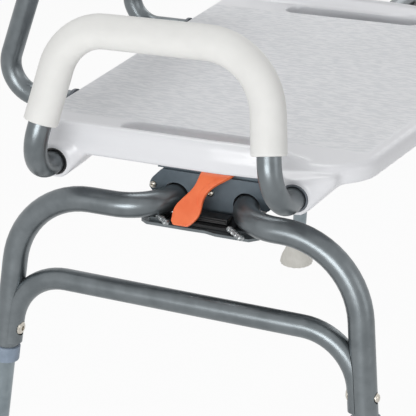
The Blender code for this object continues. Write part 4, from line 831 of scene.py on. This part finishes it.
def boss_tool(centre, inward):
    """The faired body of an armrest socket, from its round mouth to the seat's rim."""
    shape = bmesh.new()
    for depth, radius in ((0.0, 0.0170), (0.0004, 0.0173), (0.040, 0.0173)):
        place = Matrix.Translation(centre + inward * depth) @ axis_turn(inward, Z_AXIS)
        bmesh.ops.create_circle(shape, cap_ends=False, radius=radius, segments=48, matrix=place)
    for depth, spread in ((0.0135, 0.034), (0.040, 0.040)):
        for level in (RAIL_HEIGHT + SEAT_SKIRT + 0.004, RAIL_HEIGHT + SEAT_TOP - 0.006):
            for across in (-spread, spread):
                shape.verts.new(Vector((centre.x + across, centre.y, level)) + inward * depth)
    hull = bmesh.ops.convex_hull(shape, input=list(shape.verts))
    inside = hull["geom_interior"] + hull["geom_unused"]
    spare = {g for g in inside if isinstance(g, bmesh.types.BMVert)}
    bmesh.ops.delete(shape, geom=list(spare), context="VERTS")
    return finished("tool", shape, None, None)


def socket_places():
    for end_name, end in ENDS.items():
        mouth = SEAT_MIDDLE + end * (SEAT_HALF + ARM_SOCKET_REACH)
        for side_name, across in ARM_SOCKETS.items():
            centre = Vector((across, mouth, RAIL_HEIGHT + ARM_SOCKET_HEIGHT))
            yield f"{end_name}_{side_name}", centre, Y_AXIS * -end


def rim_tool(end):
    """The raised rim along one end: its section pushed along the end, and drawn down at the corners."""
    section = [
        # in from the end's face, above the rim's base
        (0.0280, -0.010), (0.0010, -0.010), (0.0010, 0.0018), (0.0022, 0.0112), (0.0048, 0.0166),
        (0.0082, 0.0180), (0.0130, 0.0166), (0.0200, 0.0112), (0.0245, 0.0070), (0.0280, 0.0015),
    ]
    stations = [
        # along the end, set back from its face, share of the rim's rise
        (-0.158, 0.0095, 0.05), (-0.150, 0.0050, 0.35), (-0.138, 0.0018, 0.80), (-0.122, 0.0, 1.0),
        (0.035, 0.0, 1.0), (0.070, 0.0028, 0.98), (0.100, 0.0080, 0.85), (0.122, 0.0120, 0.45),
        (0.140, 0.0155, 0.05),
    ]
    shape = bmesh.new()
    stand = Matrix.Translation((0.0, SEAT_MIDDLE + end * SEAT_HALF, RAIL_HEIGHT + RIM_BASE))
    first_x, first_back, first_share = stations[0]
    corners = []
    for inward, up in section:
        low_end = min(up, up * first_share)
        corners.append(shape.verts.new((first_x, -end * (first_back + inward), low_end)))
    face = shape.faces.new(corners)
    for (x0, back0, share0), (x1, back1, share1) in zip(stations, stations[1:]):
        face = bmesh.ops.extrude_discrete_faces(shape, faces=[face])["faces"][0]
        bmesh.ops.translate(shape, verts=face.verts, vec=(x1 - x0, -end * (back1 - back0), 0))
        upper = [v for v in face.verts if v.co.z > 0]
        bmesh.ops.scale(shape, vec=(1, 1, share1 / share0), verts=upper)
    bmesh.ops.contextual_create(shape, geom=[e for e in shape.edges if e.is_boundary])
    bmesh.ops.transform(shape, matrix=stand, verts=shape.verts)
    return finished("tool", shape, None, None)


def handhold_tool(end):
    """A long hole through the seat, just inside its rim."""
    middle = SEAT_MIDDLE + end * (SEAT_HALF - 0.0435)
    near, far = middle - 0.015, middle + 0.015
    points = [(-0.078, near), (0.090, near), (0.090, far), (-0.078, far)]
    lift = Matrix.Translation((0, 0, RAIL_HEIGHT + 0.030))
    return finished("tool", flat_panel(points, 0.070, lift, [0.0145] * 4), None, None)


def slab_tool(low, high):
    """A plain block between two corners, for a part of the seat that shows little."""
    shape = bmesh.new()
    low, high = Vector(low), Vector(high)
    place = Matrix.Translation((low + high) / 2) @ Matrix.Diagonal((*(high - low), 1.0))
    bmesh.ops.create_cube(shape, size=1.0, matrix=place)
    return finished("tool", shape, None, None)


def back_places():
    return [("near", SEAT_MIDDLE - BACK_HALF_SPACING), ("far", SEAT_MIDDLE + BACK_HALF_SPACING)]


def seat():
    shape = seat_outline_shape()
    skirt = RAIL_HEIGHT + SEAT_SKIRT
    made = bmesh.ops.extrude_face_region(shape, geom=list(shape.faces))["geom"]
    lid = [g for g in made if isinstance(g, bmesh.types.BMFace)]
    rim = [e for f in lid for e in f.edges]
    upper = {v for f in lid for v in f.verts}
    lower = [v for v in shape.verts if v not in upper]
    bmesh.ops.translate(shape, verts=lower, vec=(0, 0, SEAT_SKIRT - SEAT_TOP))
    bmesh.ops.recalc_face_normals(shape, faces=shape.faces)
    soften(shape, rim, 0.0062, 6)
    base = [e for e in shape.edges if all(abs(v.co.z - skirt) < 1e-6 for v in e.verts)]
    soften(shape, base, 0.0038, 4)
    shell = finished("seat_shell_moulded", shape, SEAT, "seat", ["seat_shell"])
    pad_low = RAIL_HEIGHT + SEAT_PAD_BASE
    pad = spun_shape(Vector((RAIL_OFFSET, SEAT_MIDDLE, pad_low)), Z_AXIS, [
        (0, 0), (SEAT_PAD_RADIUS - 0.003, 0), (SEAT_PAD_RADIUS - 0.0005, 0.0010), (SEAT_PAD_RADIUS, 0.0030),
        (SEAT_PAD_RADIUS, 0.012), (0, 0.012),
    ], 96, X_AXIS)
    bodies = [finished("tool", pad, None, None)]
    bodies += [boss_tool(centre, inward) for _, centre, inward in socket_places()]
    bodies += [rim_tool(end) for end in ENDS.values()]
    for _, y in back_places():
        low = (SEAT_REAR + 0.003, y - 0.016, pad_low + 0.0022)
        bodies.append(slab_tool(low, (SEAT_REAR + 0.042, y + 0.016, RAIL_HEIGHT + RIM_BASE)))
    carve(shell, bodies, "UNION")
    carve(shell, [handhold_tool(end) for end in ENDS.values()])

    skin = shell.modifiers.new("skin", "REMESH")
    skin.mode = "VOXEL"
    skin.voxel_size = 0.0025
    settle(shell)
    flow = shell.modifiers.new("flow", "SMOOTH")
    flow.factor = 0.5
    flow.iterations = 4
    settle(shell)
    bores = [rod_tool(c - i * 0.001, i, 0.0137, 0.040) for _, c, i in socket_places()]
    for _, y in back_places():
        mouth = (SEAT_REAR - 0.001, y, RAIL_HEIGHT + BACK_SOCKET_HEIGHT)
        bores.append(rod_tool(mouth, X_AXIS, 0.0115, 0.038))
    carve(shell, bores)
    mark_grain_and_shade(shell)
    shell.data.materials.clear()
    shell.data.materials.append(SEAT)
    smooth_shaded(shell, 50)


def mark_grain_and_shade(shell):
    """Mark the sitting face, which takes the grain's bump and its painted shade: from rear edge to front
    roll, between the two handholds.
    """
    mask = shell.data.attributes.new("grain", "FLOAT", "POINT")
    values = []
    for vertex in shell.data.vertices:
        x, y, z = vertex.co
        inward = SEAT_HALF - abs(y - SEAT_MIDDLE)
        front = (0.2115 - 0.142 * abs(y - SEAT_MIDDLE) - x) * 0.99
        fade = min((inward - 0.0580) / 0.003, (front - 0.013) / 0.004, (x - SEAT_REAR - 0.001) / 0.002)
        up = 1.0 if z > RAIL_HEIGHT + SEAT_TOP - 0.004 else 0.0
        values.append(max(0.0, min(1.0, fade)) * up)
    mask.data.foreach_set("value", values)


def socket_rings():
    for label, centre, inward in socket_places():
        grey = label.endswith("front")
        ring = spun_shape(centre - inward * 0.0006, inward, [
            (0.0119, 0.0), (0.0131, 0.0), (0.0134, 0.0003), (0.0134, 0.034), (0.0119, 0.034),
            (0.0117, 0.0003),
        ], 48, Z_AXIS, True)
        finished(
            f"arm_bush_{label}_turned", ring, BUSH_GREY if grey else BLACK, "seat",
            [f"arm_bush_{label}"],
        )
    for label, y in back_places():
        mouth = Vector((SEAT_REAR - GAP, y, RAIL_HEIGHT + BACK_SOCKET_HEIGHT))
        ring = spun_shape(mouth, -X_AXIS, [
            (0.0114, 0.0), (0.0135, 0.0), (0.0135, 0.0028), (0.0129, 0.0038), (0.0120, 0.0040),
            (0.0114, 0.0036),
        ], 48, Z_AXIS, True)
        finished(
            f"back_ring_{label}_turned", ring, BUSH_GREY, "seat", [f"back_ring_{label}"]
        )


def armrests():
    for end_name, end in ENDS.items():
        def at(x, inward, up):
            return Vector((x, SEAT_MIDDLE + end * (SEAT_LENGTH / 2 + SEAT_EDGE - inward), RAIL_HEIGHT + up))

        rear, front, low = ARM_SOCKETS["rear"], ARM_SOCKETS["front"], ARM_SOCKET_HEIGHT
        corners = [
            at(rear, 0.016, low), at(rear, -0.078, low), at(-0.099, -0.029, 0.183),
            at(0.098, -0.029, 0.1855), at(front, -0.078, low), at(front, 0.016, low),
        ]
        body = f"armrest_{end_name}"
        tube = bent_tube(corners, [0.037, 0.046, 0.066, 0.037], SLIM_TUBE_RADIUS, 48)
        finished(
            f"armrest_tube_{end_name}_drawn", tube, TUBE, body, [f"armrest_tube_{end_name}"]
        )

        level = RAIL_HEIGHT + GRIP_END_HEIGHT
        first, second, third, fourth = corners[1:5]
        foot = first.lerp(second, (level - first.z) / (second.z - first.z))
        toe = fourth.lerp(third, (level - fourth.z) / (third.z - fourth.z))
        shape = bent_tube([foot, second, third, toe], [0.046, 0.066], GRIP_RADIUS, 56, 0.0049, 0.006)
        grip = finished(
            f"armrest_grip_{end_name}_foam", shape, FOAM, body, [f"armrest_grip_{end_name}"]
        )
        rounded(grip, 0.0022, 4, 50)


def backrest():
    places = [y for _, y in back_places()]
    profile = [
        (SEAT_REAR + 0.036, BACK_SOCKET_HEIGHT), (-0.2635, BACK_SOCKET_HEIGHT), (BACK_KNEE, 0.2036),
        (BACK_KNEE, 0.3449),
    ]
    first = [Vector((x, places[0], RAIL_HEIGHT + up)) for x, up in profile]
    corners = first + [Vector((p.x, places[1], p.z)) for p in reversed(first)]
    hoop = bent_tube(corners, [0.033, 0.050, 0.045, 0.045, 0.050, 0.033], SLIM_TUBE_RADIUS, 48)
    finished("backrest_tube_drawn", hoop, TUBE, "backrest", ["backrest_tube"])
    back_panel()
    for label, y in back_places():
        for level in (0.235, 0.2825):
            base = Vector((BACK_KNEE - SLIM_TUBE_RADIUS - GAP, y, RAIL_HEIGHT + level))
            head = domed_head(base, -X_AXIS, 0.005, 0.0026, 0.0015, 0.003)
            finished(f"panel_screw_{label}_{int(level * 1000)}", head, ZINC, "backrest")


def back_panel():
    """The moulded panel in front of the hoop: rounded edges, and a shallow dished field."""
    half, low, high = PANEL_HALF_WIDTH, RAIL_HEIGHT + PANEL_LOW, RAIL_HEIGHT + PANEL_HIGH
    face = BACK_KNEE + SLIM_TUBE_RADIUS + GAP
    stand = Matrix.Translation((face, SEAT_MIDDLE, 0)) @ Matrix((
        (0, 0, 1, 0), (1, 0, 0, 0), (0, 1, 0, 0), (0, 0, 0, 1),
    ))
    corners = [(-half, low), (half, low), (half, high), (-half, high)]
    shape = flat_panel(corners, PANEL_THICKNESS, None, [0.035] * 4)
    bmesh.ops.recalc_face_normals(shape, faces=shape.faces)
    for level, offset in ((PANEL_THICKNESS, 0.006), (0.0, 0.004)):
        edges = [e for e in shape.edges if all(abs(v.co.z - level) < 1e-6 for v in e.verts)]
        soften(shape, edges, offset, 5)
    front = max(shape.faces, key=lambda f: f.calc_area() * (f.normal.z > 0.9))
    for width, drop in ((0.005, 0.0), (0.004, -0.0008), (0.004, -0.0006)):
        bmesh.ops.inset_region(shape, faces=[front], thickness=width, depth=drop, use_even_offset=True)
    bmesh.ops.transform(shape, matrix=stand, verts=shape.verts)
    panel = finished("backrest_panel_moulded", shape, SEAT, "backrest", ["backrest_panel"])
    # the dished field takes the seat's grain, with painted shade darkening the wrinkles' hollows
    mask = panel.data.attributes.new("grain", "FLOAT", "POINT")
    dished = (face + 0.0150, face + 0.0172)
    marks = [1.0 if dished[0] < v.co.x < dished[1] else 0.0 for v in panel.data.vertices]
    mask.data.foreach_set("value", marks)


def lock_spring():
    """The lock's spring under the carriage plate, which the pin squeezes as it is lifted; here it is the
    frame's own spring mesh, copied as it stands.
    """
    shape = bmesh.new()
    shape.from_mesh(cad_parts["lock_spring"].data)
    spring = finished(
        "lock_spring_wound", shape, ZINC, "carriage", ["lock_spring"], recalculate=False
    )
    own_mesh(spring)


def carried_over():
    """Finishes for the nodes whose own solids are shown."""
    finishes = {
        "weld_plate_near": TUBE, "weld_plate_far": TUBE, "lock_rack": BLACK, "carriage_plate": SLATE,
        "swivel_post": SLATE, "lever_hinge": SLATE, "lever_pin": ZINC, "lock_pin": ZINC,
    }
    for name, finish in finishes.items():
        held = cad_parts[name].data.materials
        held.clear()
        held.append(finish)


# Studio

def seen_as_background(tree):
    """One for the rays that see the background itself: straight, mirrored or through glass."""
    path = node(tree, "LightPath").outputs
    seen = path["Is Camera Ray"]
    for kind in ("Is Glossy Ray", "Is Transmission Ray"):
        seen = node(tree, "Math", {"operation": "MAXIMUM"}, {0: seen, 1: path[kind]}).outputs[0]
    return seen


def studio():
    floor = bmesh.new()
    bmesh.ops.create_grid(floor, x_segments=1, y_segments=1, size=30.0)
    ground = finished("studio_floor", floor, None, None, recalculate=False)
    paper = bpy.data.materials.new("white_paper")
    paper.use_nodes = True
    tree = paper.node_tree
    tree.nodes.clear()
    share = node(tree, "Math", {"operation": "MULTIPLY"}, {0: seen_as_background(tree), 1: 0.93})
    matt = node(tree, "BsdfDiffuse", None, {"Color": colour("#EDEDED")})
    glow = node(tree, "Emission", None, {"Color": (1, 1, 1, 1), "Strength": 1.0})
    both = node(tree, "MixShader", None, {0: share.outputs[0], 1: matt.outputs[0], 2: glow.outputs[0]})
    node(tree, "OutputMaterial", None, {"Surface": both.outputs[0]})
    ground.data.materials.append(paper)

    world = bpy.data.worlds.new("studio")
    bpy.context.scene.world = world
    world.use_nodes = True
    tree = world.node_tree
    tree.nodes.clear()
    soft = node(tree, "Background", None, {"Color": (0.99, 0.99, 1.0, 1), "Strength": 0.38})
    white = node(tree, "Background", None, {"Color": (1, 1, 1, 1), "Strength": 1.0})
    both = node(tree, "MixShader", None, {
        0: seen_as_background(tree), 1: soft.outputs[0], 2: white.outputs[0],
    })
    node(tree, "OutputWorld", None, {"Surface": both.outputs[0]})

    for name, place, target, size, power in (
        ("key", (0.12, -1.95, 0.78), (0, -0.3, 0.45), (1.0, 0.5), 12.5),
        ("fill", (2.0, -0.6, 1.0), (0, -0.2, 0.5), (0.9, 1.2), 4.5),
        ("top", (-0.6, 0.3, 2.5), (0, 0.0, 0.5), (1.2, 0.9), 13.0),
        ("back", (0.3, 2.1, 1.5), (0, -0.1, 0.5), (1.2, 0.8), 6.0),
    ):
        lamp = bpy.data.lights.new(name, "AREA")
        lamp.shape = "RECTANGLE"
        lamp.size, lamp.size_y = size
        lamp.energy = power
        holder = bpy.data.objects.new(name, lamp)
        holder.location = place
        holder.rotation_euler = (Vector(target) - Vector(place)).to_track_quat("-Z", "Y").to_euler()
        bpy.context.scene.collection.objects.link(holder)

    camera = bpy.data.cameras.new("view")
    camera.lens = 130.24
    camera.sensor_width = 36.0
    camera.shift_x = -0.1432
    camera.shift_y = -0.0218
    eye = bpy.data.objects.new("view", camera)
    eye.location = (0.5657, -1.6260, 1.0769)
    eye.rotation_euler = (math.radians(66.97), 0.0, math.radians(21.83))
    bpy.context.scene.collection.objects.link(eye)
    bpy.context.scene.camera = eye
    bpy.context.scene.view_settings.view_transform = "Standard"


studio()
side_tubes()
crossbars()
weld_beads()
legs()
end_stops()
carriage()
swivel()
release_lever()
lock_spring()
seat()
socket_rings()
armrests()
backrest()
carried_over()
